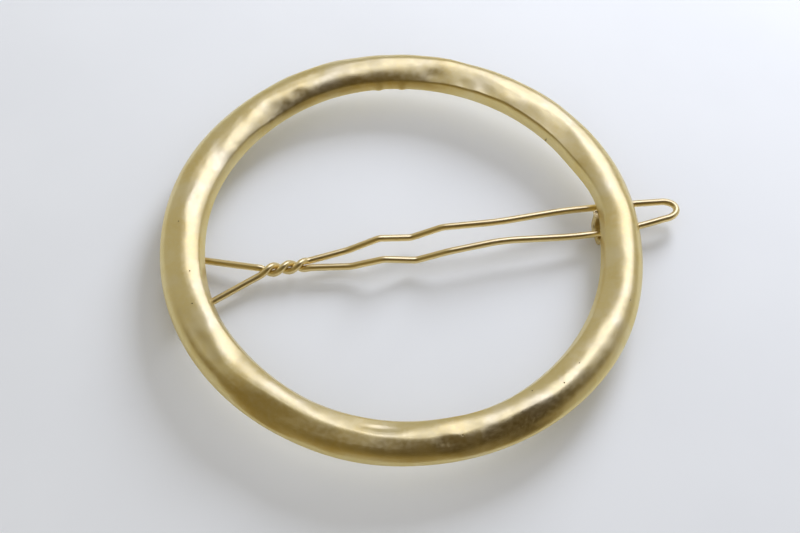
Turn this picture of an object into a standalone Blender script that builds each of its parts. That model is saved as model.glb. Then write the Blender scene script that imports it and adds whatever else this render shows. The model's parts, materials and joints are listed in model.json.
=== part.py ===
"""Round hairpin clip: a hammered ring with a twisted wire pin across its back.

The ring lies face up. +X runs from the hinge to the catch along the pin, +Y
across it, +Z up out of the ring's face. The origin is on the surface that the
clip lies on, under the middle of its length.
"""

import math
from collections import namedtuple

import bmesh
import bpy
from mathutils import Vector

# Ring
RING_RADIUS = 0.0254
BAND_WIDTH = 0.00526
RING_HEIGHT = 0.00185
OUTER_LEAN = 0.00032
INNER_LEAN = 0.0004
OUTER_ROUNDING = 0.001
INNER_ROUNDING = 0.00035
OUTER_DROP_SHARE = 0.65
INNER_DROP_SHARE = 0.3
BACK_ROUNDING = 0.00022
RING_STEPS = 160
CROWN_STEPS = 12
EDGE_STEPS = 4
BACK_STEPS = 3
CREST_SOFTNESS_SHARE = 0.06

# Pin wire
WIRE_RADIUS = 0.0004
WIRE_SIDES = 12
STRAND_GAP = 0.00005
TWIST_RISE = 0.00065
LATCH_INSET = 0.0015
CRIMP_HEIGHT = 0.00105
TIP_RISE = 0.00015
ROOT_BEND_RADIUS = 0.0008
JOURNAL_END_GAP = 0.0011
TWIST_START = 0.0087
TWIST_LENGTH = 0.0054
TWIST_HALF_TURNS = 3
TWIST_EASE = 0.0008
TWIST_EASE_SHARE = 0.12
CRIMP_START = 0.019
CRIMP_PITCH = 0.0038
CRIMP_COUNT = 3
ARCH_LENGTH = 0.0065
WAIST_TO_LATCH = 0.0124
LATCH_TO_NECK = 0.0045
NECK_TO_SHOULDER = 0.003
SHOULDER_TO_TIP = 0.0018
LEG_GAP = 0.0036
KINK_SETBACK = 0.0004
BEND_SETBACK = 0.0018
ROOT_BEND_STEPS = 10
TWIST_STEPS = 72
KINK_STEPS = 8
TIP_STEPS = 16
RING_TURN_DEGREES = 9

# Hinge lug
HINGE_DROP = 0.00231
LUG_LENGTH = 0.0058
LUG_WALL = 0.00039
BORE_CLEARANCE = 0.00006
FOOT_CUT = 0.0001
LUG_FLARE = 0.0003
LUG_CHAMFER = 0.00012
LUG_ARC_STEPS = 18
LUG_FLARE_SHARE = 0.33

# Catch
CATCH_WIDTH = 0.0023
CATCH_STEM = 0.0009
CATCH_NOSE_RISE = 0.00025
CATCH_NOSE_LENGTH = 0.00045
CATCH_INSET = 0.00035
CATCH_CHAMFER = 0.00014
CATCH_CORNER = 0.0004
CATCH_CORNER_STEPS = 5

# Edges sharper than this stay crisp when the pieces are shaded
CREASE_DEGREES = 45

# Fits
SEAT_GAP = 0.00005
LATCH_GAP = 0.00005
BACK_TO_PIN_GAP = 0.00106
BEND_TO_LUG_GAP = 0.00055

# Sizes that follow from the ones above
TWIST_DEPTH = HINGE_DROP - TWIST_RISE
CRIMP_TOP_DEPTH = TWIST_DEPTH - CRIMP_HEIGHT
LATCH_DEPTH = BACK_TO_PIN_GAP + WIRE_RADIUS
TIP_DEPTH = LATCH_DEPTH - TIP_RISE
ROOT_HALF_SPREAD = LUG_LENGTH / 2 + BEND_TO_LUG_GAP + WIRE_RADIUS
BORE_RADIUS = WIRE_RADIUS + BORE_CLEARANCE
BARREL_RADIUS = BORE_RADIUS + LUG_WALL
FOOT_Z = -(HINGE_DROP + BARREL_RADIUS - FOOT_CUT)
STRAND_RADIUS = WIRE_RADIUS + STRAND_GAP / 2
LATCH_PLACE = 2 * RING_RADIUS - LATCH_INSET
BENT_RUN = CRIMP_START + CRIMP_PITCH * CRIMP_COUNT + ARCH_LENGTH + WAIST_TO_LATCH
BEND_SPREAD = LATCH_PLACE / BENT_RUN
TWIST_PLACE = TWIST_START * BEND_SPREAD
TWIST_END = TWIST_PLACE + TWIST_LENGTH * BEND_SPREAD
CRIMP_PLACE = CRIMP_START * BEND_SPREAD
CRIMP_STEP = CRIMP_PITCH * BEND_SPREAD
CRIMP_END = CRIMP_PLACE + CRIMP_STEP * CRIMP_COUNT
WAIST_PLACE = CRIMP_END + ARCH_LENGTH * BEND_SPREAD
ARCH_TOP_PLACE = LATCH_PLACE - WAIST_TO_LATCH * BEND_SPREAD / 3
NECK_PLACE = LATCH_PLACE + LATCH_TO_NECK
SHOULDER_PLACE = NECK_PLACE + NECK_TO_SHOULDER
TIP_PLACE = SHOULDER_PLACE + SHOULDER_TO_TIP
PIN_REACH = TIP_PLACE + WIRE_RADIUS
RING_REACH = RING_RADIUS + BAND_WIDTH / 2
RING_CENTRE = Vector((-(PIN_REACH - RING_RADIUS - RING_REACH) / 2, 0, -FOOT_Z))
HINGE_CENTRE = RING_CENTRE + Vector((-RING_RADIUS, 0, -HINGE_DROP))

# Half the gap between the two legs at places along the pin, as shares of their
# widest gap.
LEG_GAP_SHARES = (
    (CRIMP_PLACE, 0.31),
    (CRIMP_PLACE + CRIMP_STEP, 0.405),
    (CRIMP_END, 0.475),
    (WAIST_PLACE, 0.365),
    (ARCH_TOP_PLACE, 0.52),
    (LATCH_PLACE, 0.507),
    (NECK_PLACE, 0.445),
    (SHOULDER_PLACE, 0.34),
)

# A pinch draws one edge of the band in, or lets it out where its depth is
# negative. Place and spread are shares of a turn, measured from the catch.
Pinch = namedtuple("Pinch", "edge place_share spread_share depth_share")
PINCHES = (
    Pinch("inner", 0.010, 0.050, 0.110),
    Pinch("outer", 0.965, 0.090, 0.060),
    Pinch("inner", 0.530, 0.060, 0.025),
    Pinch("inner", 0.360, 0.090, -0.035),
    Pinch("outer", 0.415, 0.070, -0.025),
    Pinch("inner", 0.600, 0.060, -0.022),
    Pinch("outer", 0.265, 0.060, -0.022),
    Pinch("outer", 0.145, 0.070, 0.020),
    Pinch("inner", 0.790, 0.060, 0.030),
    Pinch("outer", 0.690, 0.050, -0.020),
    Pinch("outer", 0.200, 0.200, 0.035),
    Pinch("inner", 0.200, 0.180, -0.035),
)

# The hammered crown at even steps of the turn, from the catch round by the far
# side. The crest's place is a share of the crown's half width, outwards. Each
# side's fall is a share of the ring's height, and its fullness says how late it
# falls: 1 is a straight slope.
Station = namedtuple(
    "Station", "crest_share outer_fall_share inner_fall_share outer_fullness inner_fullness"
)
STATION_SHARES = (
    Station(0.15, 0.30, 0.30, 1.5, 1.8),
    Station(0.05, 0.30, 0.30, 1.4, 1.5),
    Station(0.20, 0.20, 0.25, 1.1, 1.1),
    Station(0.00, 0.20, 0.20, 1.8, 1.2),
    Station(0.30, 0.50, 0.25, 2.8, 1.1),
    Station(0.30, 0.50, 0.45, 2.3, 1.6),
    Station(0.25, 0.55, 0.50, 2.2, 2.5),
    Station(0.05, 0.45, 0.50, 2.6, 2.2),
    Station(0.20, 0.50, 0.55, 2.5, 1.6),
    Station(0.00, 0.45, 0.45, 2.2, 2.0),
    Station(0.15, 0.50, 0.50, 2.2, 2.1),
    Station(-0.05, 0.40, 0.50, 1.8, 1.9),
    Station(-0.05, 0.40, 0.35, 1.6, 2.1),
    Station(-0.30, 0.30, 0.25, 1.4, 1.9),
    Station(0.10, 0.25, 0.40, 1.2, 1.8),
    Station(-0.15, 0.35, 0.35, 1.2, 2.2),
    Station(-0.10, 0.35, 0.35, 1.3, 1.4),
    Station(0.00, 0.35, 0.40, 1.3, 1.1),
    Station(0.00, 0.50, 0.30, 1.7, 2.5),
    Station(-0.15, 0.60, 0.25, 1.6, 1.8),
    Station(0.10, 0.50, 0.40, 1.5, 1.7),
    Station(0.05, 0.45, 0.40, 1.3, 2.3),
    Station(0.20, 0.35, 0.40, 1.4, 1.4),
    Station(0.30, 0.30, 0.45, 1.3, 1.8),
)

# Two small stubs left by casting stand in from the inner edge of the back.
STUB_PLACE_SHARES = (0.221, 0.241)
STUB_SPREAD_SHARE = 0.005
STUB_REACH = 0.00016


def clear_scene():
    for old in list(bpy.data.objects):
        bpy.data.objects.remove(old, do_unlink=True)


def metal(name, colour, roughness):
    material = bpy.data.materials.new(name)
    material.use_nodes = True
    shader = material.node_tree.nodes["Principled BSDF"]
    shader.inputs["Base Color"].default_value = (*colour, 1)
    shader.inputs["Roughness"].default_value = roughness
    shader.inputs["Metallic"].default_value = 1
    return material


def satin_gold():
    return metal("satin_gold", (0.78, 0.60, 0.28), 0.36)


def lug_gold():
    return metal("lug_gold", (0.74, 0.56, 0.26), 0.42)


def catch_gold():
    return metal("catch_gold", (0.74, 0.56, 0.26), 0.40)


def wire_gold():
    return metal("wire_gold", (0.80, 0.61, 0.27), 0.28)


def shaded_object(name, bm, material, location):
    bmesh.ops.recalc_face_normals(bm, faces=bm.faces)
    mesh = bpy.data.meshes.new(name)
    bm.to_mesh(mesh)
    bm.free()
    mesh.shade_smooth()
    mesh.set_sharp_from_angle(angle=math.radians(CREASE_DEGREES))
    mesh.materials.append(material)
    made = bpy.data.objects.new(name, mesh)
    made.location = location
    bpy.context.scene.collection.objects.link(made)
    return made


def turn_distance(turn_share, place_share):
    apart = abs(turn_share - place_share) % 1
    return min(apart, 1 - apart)


def swell(turn_share, place_share, spread_share):
    """A smooth hump: 1 at its place, 0 at a spread away and beyond."""
    near = turn_distance(turn_share, place_share) / spread_share
    if near >= 1:
        return 0
    return (1 + math.cos(math.pi * near)) / 2


def smooth_run(before, here, after, beyond, way_share):
    """A smooth run from here to after that keeps the slopes of its neighbours."""
    leaving = (after - before) / 2
    arriving = (beyond - here) / 2
    squared = way_share ** 2
    cubed = way_share ** 3
    arrived = 3 * squared - 2 * cubed
    run = here + (after - here) * arrived
    return run + leaving * (cubed - 2 * squared + way_share) + arriving * (cubed - squared)


def station_at(turn_share):
    """The crown's form at a share of a turn, between its stations."""
    count = len(STATION_SHARES)
    place = turn_share * count
    first = math.floor(place)
    near = [STATION_SHARES[(first + step) % count] for step in (-1, 0, 1, 2)]
    return Station(*(smooth_run(*values, place - first) for values in zip(*near)))


def side_fall(past_crest_share, fullness):
    """How far one side has fallen past the crest, as a share of its whole fall."""
    past = max(past_crest_share, 0)
    return (math.hypot(past, CREST_SOFTNESS_SHARE) - CREST_SOFTNESS_SHARE) ** fullness


def band_edges(turn_share):
    """Inner and outer radius of the band at a share of a turn."""
    inner = RING_RADIUS - BAND_WIDTH / 2
    outer = RING_RADIUS + BAND_WIDTH / 2
    for pinch in PINCHES:
        change = BAND_WIDTH * pinch.depth_share
        change *= swell(turn_share, pinch.place_share, pinch.spread_share)
        if pinch.edge == "inner":
            inner += change
        else:
            outer -= change
    return inner, outer


def crown_height(turn_share, across_share):
    """Height of the crown above the back, at a share of its half width outwards."""
    form = station_at(turn_share)
    outwards = (across_share - form.crest_share) / (1 - form.crest_share)
    inwards = (form.crest_share - across_share) / (1 + form.crest_share)
    fall_share = form.outer_fall_share * side_fall(outwards, form.outer_fullness)
    fall_share += form.inner_fall_share * side_fall(inwards, form.inner_fullness)
    return RING_HEIGHT * (1 - fall_share)


def stub_reach(turn_share):
    """How far a casting stub stands in from the inner edge of the back."""
    reach = 0
    for place_share in STUB_PLACE_SHARES:
        reach += STUB_REACH * swell(turn_share, place_share, STUB_SPREAD_SHARE)
    return reach


def rounded_corner(before, corner, after, steps):
    """A corner replaced by a short arc of points from before it to after it."""
    made = []
    for step in range(steps + 1):
        share = step / steps
        made.append(
            before * (1 - share) ** 2 + corner * 2 * share * (1 - share) + after * share ** 2
        )
    return made


def crossing(start, heading, corner, wall):
    """Where the line from start along heading meets the wall through corner."""
    apart = corner - start
    turned = heading.x * wall.y - heading.y * wall.x
    return start + heading * ((apart.x * wall.y - apart.y * wall.x) / turned)


def section_half(turn_share, side):
    """Half the section, from beside the crown's crest down to the flat back.

    Each point is a distance from the band's middle, outwards, and a height. The
    edge's rounding takes its share of the wall's own height.
    """
    inner, outer = band_edges(turn_share)
    half_width = (outer - inner) / 2
    lean = OUTER_LEAN if side > 0 else INNER_LEAN
    rounding = OUTER_ROUNDING if side > 0 else INNER_ROUNDING
    drop_share = OUTER_DROP_SHARE if side > 0 else INNER_DROP_SHARE
    crown_half = half_width - lean
    round_share = 1 - rounding / crown_half
    points = []
    for step in range(1, CROWN_STEPS // 2):
        share = side * round_share * 2 * step / CROWN_STEPS
        points.append(Vector((crown_half * share, crown_height(turn_share, share))))
    foot = side * half_width
    if side < 0:
        foot -= stub_reach(turn_share)
    top = Vector((side * crown_half, crown_height(turn_share, side)))
    corner = Vector((foot, 0))
    wall = (corner - top).normalized()
    share = side * round_share
    above = Vector((crown_half * share, crown_height(turn_share, share)))
    crease = crossing(above, above - points[-1], corner, wall)
    points += rounded_corner(above, crease, crease.lerp(corner, drop_share), EDGE_STEPS)
    back = Vector((foot - side * BACK_ROUNDING, 0))
    points += rounded_corner(corner - wall * BACK_ROUNDING, corner, back, EDGE_STEPS)
    for step in range(1, BACK_STEPS):
        points.append(Vector((back.x * (1 - step / BACK_STEPS), 0)))
    return points


def section_points(turn_share):
    """The whole section as a loop: crest, outer side, back, inner side."""
    crest = Vector((0, crown_height(turn_share, 0)))
    outer_side = section_half(turn_share, 1)
    inner_side = section_half(turn_share, -1)
    inner_side.reverse()
    return [crest] + outer_side + [Vector((0, 0))] + inner_side


def ring_loop(turn_share):
    """The section's points in place round the ring."""
    inner, outer = band_edges(turn_share)
    middle = (inner + outer) / 2
    turn = 2 * math.pi * turn_share
    return [
        Vector(((middle + x) * math.cos(turn), (middle + x) * math.sin(turn), height))
        for x, height in section_points(turn_share)
    ]


def closed_rings(bm, rings):
    """Faces between neighbouring rings of vertices, and last to first."""
    for here, after in zip(rings, rings[1:] + rings[:1]):
        bridge(bm, here, after)


def bridge(bm, here, after):
    count = len(here)
    for step in range(count):
        following = (step + 1) % count
        bm.faces.new((here[step], here[following], after[following], after[step]))


def build_ring():
    bm = bmesh.new()
    rings = []
    for step in range(RING_STEPS):
        rings.append([bm.verts.new(point) for point in ring_loop(step / RING_STEPS)])
    closed_rings(bm, rings)
    return shaded_object("ring_frame", bm, satin_gold(), RING_CENTRE)


def lug_outline():
    """Side view of the lug about its bore: barrel below, flared root above."""
    top = HINGE_DROP - SEAT_GAP
    foot = -(BARREL_RADIUS - FOOT_CUT)
    points = []
    for step in range(LUG_ARC_STEPS + 1):
        angle = math.pi + math.pi * step / LUG_ARC_STEPS
        x = BARREL_RADIUS * math.cos(angle)
        z = max(BARREL_RADIUS * math.sin(angle), foot)
        points.append((x, z))
    root_half = BARREL_RADIUS + LUG_FLARE
    flare_foot = top - 2 * LUG_FLARE
    points.append((BARREL_RADIUS, flare_foot))
    points.append((BARREL_RADIUS + LUG_FLARE * LUG_FLARE_SHARE, top - LUG_FLARE))
    points.append((root_half, top))
    points.append((0, top))
    points.append((-root_half, top))
    points.append((-BARREL_RADIUS - LUG_FLARE * LUG_FLARE_SHARE, top - LUG_FLARE))
    points.append((-BARREL_RADIUS, flare_foot))
    return points


def build_lug():
    """A block with a bore along Y, its ends lightly chamfered."""
    bm = bmesh.new()
    outline = lug_outline()
    angles = [math.atan2(z, x) for x, z in outline]
    half = LUG_LENGTH / 2
    stations = (
        (-half, LUG_CHAMFER), (-half + LUG_CHAMFER, 0),
        (half - LUG_CHAMFER, 0), (half, LUG_CHAMFER),
    )
    outer_rings = []
    inner_rings = []
    for along, inset in stations:
        shrink = 1 - inset / BARREL_RADIUS
        outer_rings.append([
            bm.verts.new((x * shrink, along, z * shrink)) for x, z in outline
        ])
        mouth = BORE_RADIUS + inset / 2
        inner_rings.append([
            bm.verts.new((mouth * math.cos(a), along, mouth * math.sin(a)))
            for a in angles
        ])
    for rings in (outer_rings, inner_rings):
        for here, after in zip(rings, rings[1:]):
            bridge(bm, here, after)
    bridge(bm, outer_rings[0], inner_rings[0])
    bridge(bm, outer_rings[-1], inner_rings[-1])
    return shaded_object("hinge_lug", bm, lug_gold(), HINGE_CENTRE)


def rounded_outline(corners, radius, steps):
    """Corner points of an outline, each replaced by a short arc of points."""
    made = []
    count = len(corners)
    for index, corner in enumerate(corners):
        before = Vector(corners[index - 1])
        after = Vector(corners[(index + 1) % count])
        here = Vector(corner)
        setback = min(
            radius, (before - here).length / 2.2, (after - here).length / 2.2
        )
        start = here + (before - here).normalized() * setback
        end = here + (after - here).normalized() * setback
        made += rounded_corner(start, here, end, steps)
    return made


def catch_outline():
    """End view of the catch: a stem down between the legs, a finger under one."""
    top = -SEAT_GAP
    foot = FOOT_Z
    rest = -(LATCH_DEPTH + WIRE_RADIUS + LATCH_GAP)
    leg = leg_half_gap(LATCH_PLACE)
    nose_inside = -(leg + WIRE_RADIUS + LATCH_GAP)
    nose = nose_inside - CATCH_NOSE_LENGTH
    half = CATCH_STEM / 2
    return [
        (half, top),
        (-half, top),
        (-half, rest),
        (nose_inside, rest),
        (nose_inside - CATCH_NOSE_LENGTH / 3, rest + CATCH_NOSE_RISE),
        (nose, rest + CATCH_NOSE_RISE),
        (nose, (rest + foot) / 2),
        (nose + CATCH_CORNER, foot),
        (half - CATCH_CORNER, foot),
        (half, (rest + foot) / 2),
    ]


def build_catch():
    """A hook under the ring's inner edge, its ends lightly chamfered."""
    inner, _ = band_edges(0)
    bm = bmesh.new()
    outline = rounded_outline(catch_outline(), CATCH_CORNER, CATCH_CORNER_STEPS)
    stations = (
        (0, CATCH_CHAMFER), (CATCH_CHAMFER, 0),
        (CATCH_WIDTH - CATCH_CHAMFER, 0), (CATCH_WIDTH, CATCH_CHAMFER),
    )
    rings = []
    for along, inset in stations:
        rings.append([
            bm.verts.new((along, y, z)) for y, z in inset_outline(outline, inset)
        ])
    for here, after in zip(rings, rings[1:]):
        bridge(bm, here, after)
    bm.faces.new(rings[0])
    bm.faces.new(rings[-1])
    bmesh.ops.triangulate(bm, faces=[f for f in bm.faces if len(f.verts) > 4])
    place = RING_CENTRE + Vector((inner - CATCH_INSET, 0, 0))
    return shaded_object("catch_hook", bm, catch_gold(), place)


def inset_outline(outline, inset):
    """The outline drawn in by the same width all round."""
    if inset == 0:
        return list(outline)
    made = []
    count = len(outline)
    for index, here in enumerate(outline):
        before = outline[index - 1]
        after = outline[(index + 1) % count]
        first = (here - before).normalized()
        second = (after - here).normalized()
        along = (first + second).normalized()
        inwards = Vector((-along.y, along.x))
        made.append(here + inwards * inset)
    return made


def hyperbola(distance, softness):
    """0 far before the start, the distance itself far past it."""
    return (distance + math.hypot(distance, softness)) / 2


def eased(share, ease_share):
    """A ramp from 0 to 1 at a steady rate with soft ends."""
    share = min(max(share, 0), 1)
    steady = 1 / (1 - ease_share)
    if share < ease_share:
        return steady * share * share / (2 * ease_share)
    if share > 1 - ease_share:
        rest = 1 - share
        return 1 - steady * rest * rest / (2 * ease_share)
    return steady * (share - ease_share / 2)


def leg_half_gap(place):
    """Half the gap between the leg centres at a place along the pin."""
    before = LEG_GAP_SHARES[0]
    for after in LEG_GAP_SHARES[1:]:
        if place <= after[0]:
            way = (place - before[0]) / (after[0] - before[0])
            return LEG_GAP * (before[1] + (after[1] - before[1]) * way)
        before = after
    return LEG_GAP * before[1]


def leg_depth(place):
    """Depth of the legs below the ring's back."""
    if place <= CRIMP_PLACE:
        return TWIST_DEPTH
    if place <= CRIMP_END:
        crimp = round((place - CRIMP_PLACE) / CRIMP_STEP)
        return CRIMP_TOP_DEPTH if crimp % 2 else TWIST_DEPTH
    if place <= WAIST_PLACE:
        return CRIMP_TOP_DEPTH
    if place <= LATCH_PLACE:
        way = (place - WAIST_PLACE) / (LATCH_PLACE - WAIST_PLACE)
        return CRIMP_TOP_DEPTH + (LATCH_DEPTH - CRIMP_TOP_DEPTH) * way
    if place <= NECK_PLACE:
        return LATCH_DEPTH
    way = min((place - NECK_PLACE) / (SHOULDER_PLACE - NECK_PLACE), 1)
    return LATCH_DEPTH + (TIP_DEPTH - LATCH_DEPTH) * way


def from_hinge(depth):
    return HINGE_DROP - depth


def strand_point(side, place):
    """Centre of one strand where it nears, makes or leaves the twist."""
    height = from_hinge(TWIST_DEPTH)
    root_slope = (ROOT_HALF_SPREAD - STRAND_RADIUS) / TWIST_PLACE
    first_gap = LEG_GAP * LEG_GAP_SHARES[0][1]
    leg_slope = (first_gap - STRAND_RADIUS) / (CRIMP_PLACE - TWIST_END)
    twist_run = TWIST_END - TWIST_PLACE
    share = (place - TWIST_PLACE + TWIST_EASE / 2) / (twist_run + TWIST_EASE)
    angle = -math.pi * TWIST_HALF_TURNS * eased(share, TWIST_EASE_SHARE)
    if side < 0:
        angle += math.pi
    spread = STRAND_RADIUS
    spread += root_slope * hyperbola(TWIST_PLACE - place, TWIST_EASE)
    spread += leg_slope * hyperbola(place - TWIST_END, TWIST_EASE)
    return Vector((
        place,
        spread * math.cos(angle),
        height * min(place / TWIST_PLACE, 1) + STRAND_RADIUS * math.sin(angle),
    ))


def root_points(side):
    """The end in the lug's bore, the bend out of it and the run to the twist."""
    corners = [
        Vector((0, side * JOURNAL_END_GAP / 2, 0)),
        Vector((0, side * ROOT_HALF_SPREAD, 0)),
        strand_point(side, TWIST_PLACE - 2 * TWIST_EASE),
    ]
    return corners, (0, ROOT_BEND_RADIUS, 0)


def twist_points(side, samples):
    """The strand's run through the twist, from one side to the other."""
    first = TWIST_PLACE - 2 * TWIST_EASE
    last = TWIST_END + 2 * TWIST_EASE
    return [
        strand_point(side, first + (last - first) * step / samples)
        for step in range(1, samples)
    ]


def leg_points(side):
    """The leg from the twist through its kinks to the shoulder of the tip."""
    places = []
    setbacks = [0]
    for crimp in range(CRIMP_COUNT + 1):
        places.append(CRIMP_PLACE + CRIMP_STEP * crimp)
        setbacks.append(KINK_SETBACK)
    for place in (WAIST_PLACE, ARCH_TOP_PLACE, LATCH_PLACE, NECK_PLACE):
        places.append(place)
        setbacks.append(BEND_SETBACK)
    places.append(SHOULDER_PLACE)
    setbacks.append(0)
    corners = [strand_point(-side, TWIST_END + 2 * TWIST_EASE)]
    for place in places:
        height = from_hinge(leg_depth(place))
        corners.append(Vector((place, side * leg_half_gap(place), height)))
    return corners, setbacks


def tip_points(side, samples):
    """A quarter of the tip's loop, from the shoulder to its middle."""
    shoulder = leg_half_gap(SHOULDER_PLACE)
    made = []
    for step in range(1, samples + 1):
        angle = math.pi / 2 * step / samples
        made.append(Vector((
            SHOULDER_PLACE + SHOULDER_TO_TIP * math.sin(angle),
            side * shoulder * math.cos(angle),
            from_hinge(TIP_DEPTH),
        )))
    return made


def filleted(corners, setbacks, steps):
    """A run through corners, each rounded over its setback."""
    made = [corners[0]]
    for index in range(1, len(corners) - 1):
        here = corners[index]
        before = corners[index - 1] - here
        after = corners[index + 1] - here
        setback = min(setbacks[index], before.length / 2.1, after.length / 2.1)
        start = here + before.normalized() * setback
        end = here + after.normalized() * setback
        made += rounded_corner(start, here, end, steps)
    made.append(corners[-1])
    return made


def half_pin(side):
    """The wire from its end in the lug to the middle of the tip."""
    corners, setbacks = root_points(side)
    route = filleted(corners, setbacks, ROOT_BEND_STEPS)
    route.extend(twist_points(side, TWIST_STEPS))
    corners, setbacks = leg_points(-side)
    route.extend(filleted(corners, setbacks, KINK_STEPS))
    route.extend(tip_points(-side, TIP_STEPS))
    return route


def pin_route():
    """The whole wire, from the near end round the tip to the far end."""
    route = half_pin(-1)
    back = half_pin(1)
    back.reverse()
    return route + back[1:]


def thinned(route, turn_limit, reach_limit):
    """The route with only the points that its bends need."""
    kept = [route[0]]
    turned = 0
    for index in range(1, len(route) - 1):
        arriving = route[index] - route[index - 1]
        leaving = route[index + 1] - route[index]
        turned += arriving.angle(leaving)
        reach = (route[index] - kept[-1]).length
        if turned >= turn_limit or reach >= reach_limit:
            kept.append(route[index])
            turned = 0
    kept.append(route[-1])
    return kept


def least_gap(route, apart):
    """Least gap between two stretches of wire that lie apart along it."""
    lengths = [0]
    for before, here in zip(route, route[1:]):
        lengths.append(lengths[-1] + (here - before).length)
    least = None
    for first in range(len(route)):
        for second in range(first + 1, len(route)):
            if lengths[second] - lengths[first] < apart:
                continue
            gap = (route[first] - route[second]).length - 2 * WIRE_RADIUS
            if least is None or gap < least:
                least = gap
    return least


def build_pin():
    """The wire swept along its route, with eased ends."""
    route = pin_route()
    print("least gap of the wire to itself, mm:", least_gap(route, CRIMP_STEP) * 1000)
    route = thinned(route, math.radians(RING_TURN_DEGREES), CRIMP_STEP)
    bm = bmesh.new()
    rings = []
    direction = (route[1] - route[0]).normalized()
    upright = Vector((0, 0, 1))
    for index, here in enumerate(route):
        before = route[max(index - 1, 0)]
        after = route[min(index + 1, len(route) - 1)]
        heading = (after - before).normalized()
        upright.rotate(direction.rotation_difference(heading))
        upright = (upright - heading * upright.dot(heading)).normalized()
        direction = heading
        sideways = heading.cross(upright)
        ring = []
        for side in range(WIRE_SIDES):
            angle = 2 * math.pi * side / WIRE_SIDES
            offset = upright * math.cos(angle) + sideways * math.sin(angle)
            ring.append(bm.verts.new(here + offset * WIRE_RADIUS))
        rings.append(ring)
    for here, after in zip(rings, rings[1:]):
        bridge(bm, here, after)
    bm.faces.new(rings[0])
    bm.faces.new(rings[-1])
    return shaded_object("wire_pin", bm, wire_gold(), HINGE_CENTRE)


def main():
    clear_scene()
    build_ring()
    build_lug()
    build_catch()
    build_pin()


main()
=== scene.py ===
"""Dresses the round hairpin clip: hammered ring, hinge lug, catch and wire pin."""

import json
import logging
import math
from dataclasses import astuple, dataclass
from enum import Enum

import bmesh
import bpy
import numpy as np
from bmesh.types import BMesh
from bpy.types import Material, Mesh, Node, NodeSocket, NodeTree, Object
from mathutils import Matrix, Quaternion, Vector


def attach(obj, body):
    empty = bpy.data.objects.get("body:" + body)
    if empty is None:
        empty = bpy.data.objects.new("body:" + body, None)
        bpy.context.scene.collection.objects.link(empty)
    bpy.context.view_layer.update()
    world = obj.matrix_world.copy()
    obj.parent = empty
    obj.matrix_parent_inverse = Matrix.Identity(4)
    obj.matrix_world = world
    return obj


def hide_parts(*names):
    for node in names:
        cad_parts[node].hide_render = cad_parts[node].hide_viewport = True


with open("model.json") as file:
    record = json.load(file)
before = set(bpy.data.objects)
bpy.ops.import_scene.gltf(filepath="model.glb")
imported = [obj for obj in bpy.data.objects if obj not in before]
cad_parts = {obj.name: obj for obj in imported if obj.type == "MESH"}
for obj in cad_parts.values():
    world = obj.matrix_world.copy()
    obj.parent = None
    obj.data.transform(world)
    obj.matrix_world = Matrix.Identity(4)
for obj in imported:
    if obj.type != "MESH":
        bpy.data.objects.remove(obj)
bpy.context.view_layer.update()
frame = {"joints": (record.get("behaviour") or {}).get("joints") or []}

log = logging.getLogger("hairpin")

Colour = tuple[float, float, float]
Point = tuple[float, float, float]
Steps = tuple[float, float]
Spots = tuple[tuple[Point, float], ...]


class Body(Enum):
    """The two bodies that the pieces ride on."""

    CLIP = "clip"
    PIN = "pin"


class Edge(Enum):
    """The two edges of the ring's band."""

    INNER = -1
    OUTER = 1


# Node trees


@dataclass
class NodeSheet:
    """A node tree under construction.

    Attributes:
        tree: The tree that the nodes go into.
    """

    tree: NodeTree

    def add(self, kind: str, feeds: dict | None = None, **settings: object) -> Node:
        """Add a node, set it up and feed its inputs.

        Args:
            kind: The node's type name.
            feeds: A value or an output socket for each input, by name or index.
            **settings: The node's own settings, such as its operation.

        Returns:
            The new node.
        """
        node = self.tree.nodes.new(kind)
        for name, value in settings.items():
            setattr(node, name, value)
        for key, value in (feeds or {}).items():
            if isinstance(value, NodeSocket):
                self.tree.links.new(value, node.inputs[key])
            else:
                node.inputs[key].default_value = value
        return node

    def math(self, operation: str, *values: object) -> NodeSocket:
        """Add a plain operation, such as a product, on numbers or output sockets."""
        feeds = dict(enumerate(values))
        return self.add("ShaderNodeMath", feeds, operation=operation).outputs[0]

    def ramp(self, value: object, low: float, high: float, start: float = 0,
             end: float = 1) -> NodeSocket:
        """Add a smooth step from one value to another.

        Args:
            value: The socket that drives the step.
            low: Where the step starts.
            high: Where the step ends.
            start: The result below the step.
            end: The result above the step.

        Returns:
            The result's socket.
        """
        feeds = {0: value, 1: low, 2: high, 3: start, 4: end}
        node = self.add("ShaderNodeMapRange", feeds, interpolation_type="SMOOTHSTEP")
        return node.outputs[0]

    def blend(self, share: object, first: object, second: object) -> NodeSocket:
        """Add a mix of two colours or their sockets, share being the second's."""
        feeds = {0: share, 6: opaque(first), 7: opaque(second)}
        return self.add("ShaderNodeMix", feeds, data_type="RGBA").outputs[2]

    def noise(self, place: NodeSocket, size: float, detail: float = 2,
              roughness: float = 0.5) -> NodeSocket:
        """Add a cloudy pattern, about 0.5 on average, of clouds size metres wide."""
        feeds = {"Vector": place, "Scale": 1 / size, "Detail": detail, "Roughness": roughness}
        return self.add("ShaderNodeTexNoise", feeds).outputs[0]


def opaque(colour: object) -> object:
    """Give a plain colour its fourth value, and leave a socket as it is."""
    return colour if isinstance(colour, NodeSocket) else (*colour, 1)


def shader_sheet(name: str) -> tuple[Material, NodeSheet, Node]:
    """Start a material.

    Args:
        name: The material's name.

    Returns:
        The material, its node sheet and its shader node.
    """
    material = bpy.data.materials.new(name)
    material.use_nodes = True
    sheet = NodeSheet(material.node_tree)
    return material, sheet, material.node_tree.nodes["Principled BSDF"]


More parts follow.
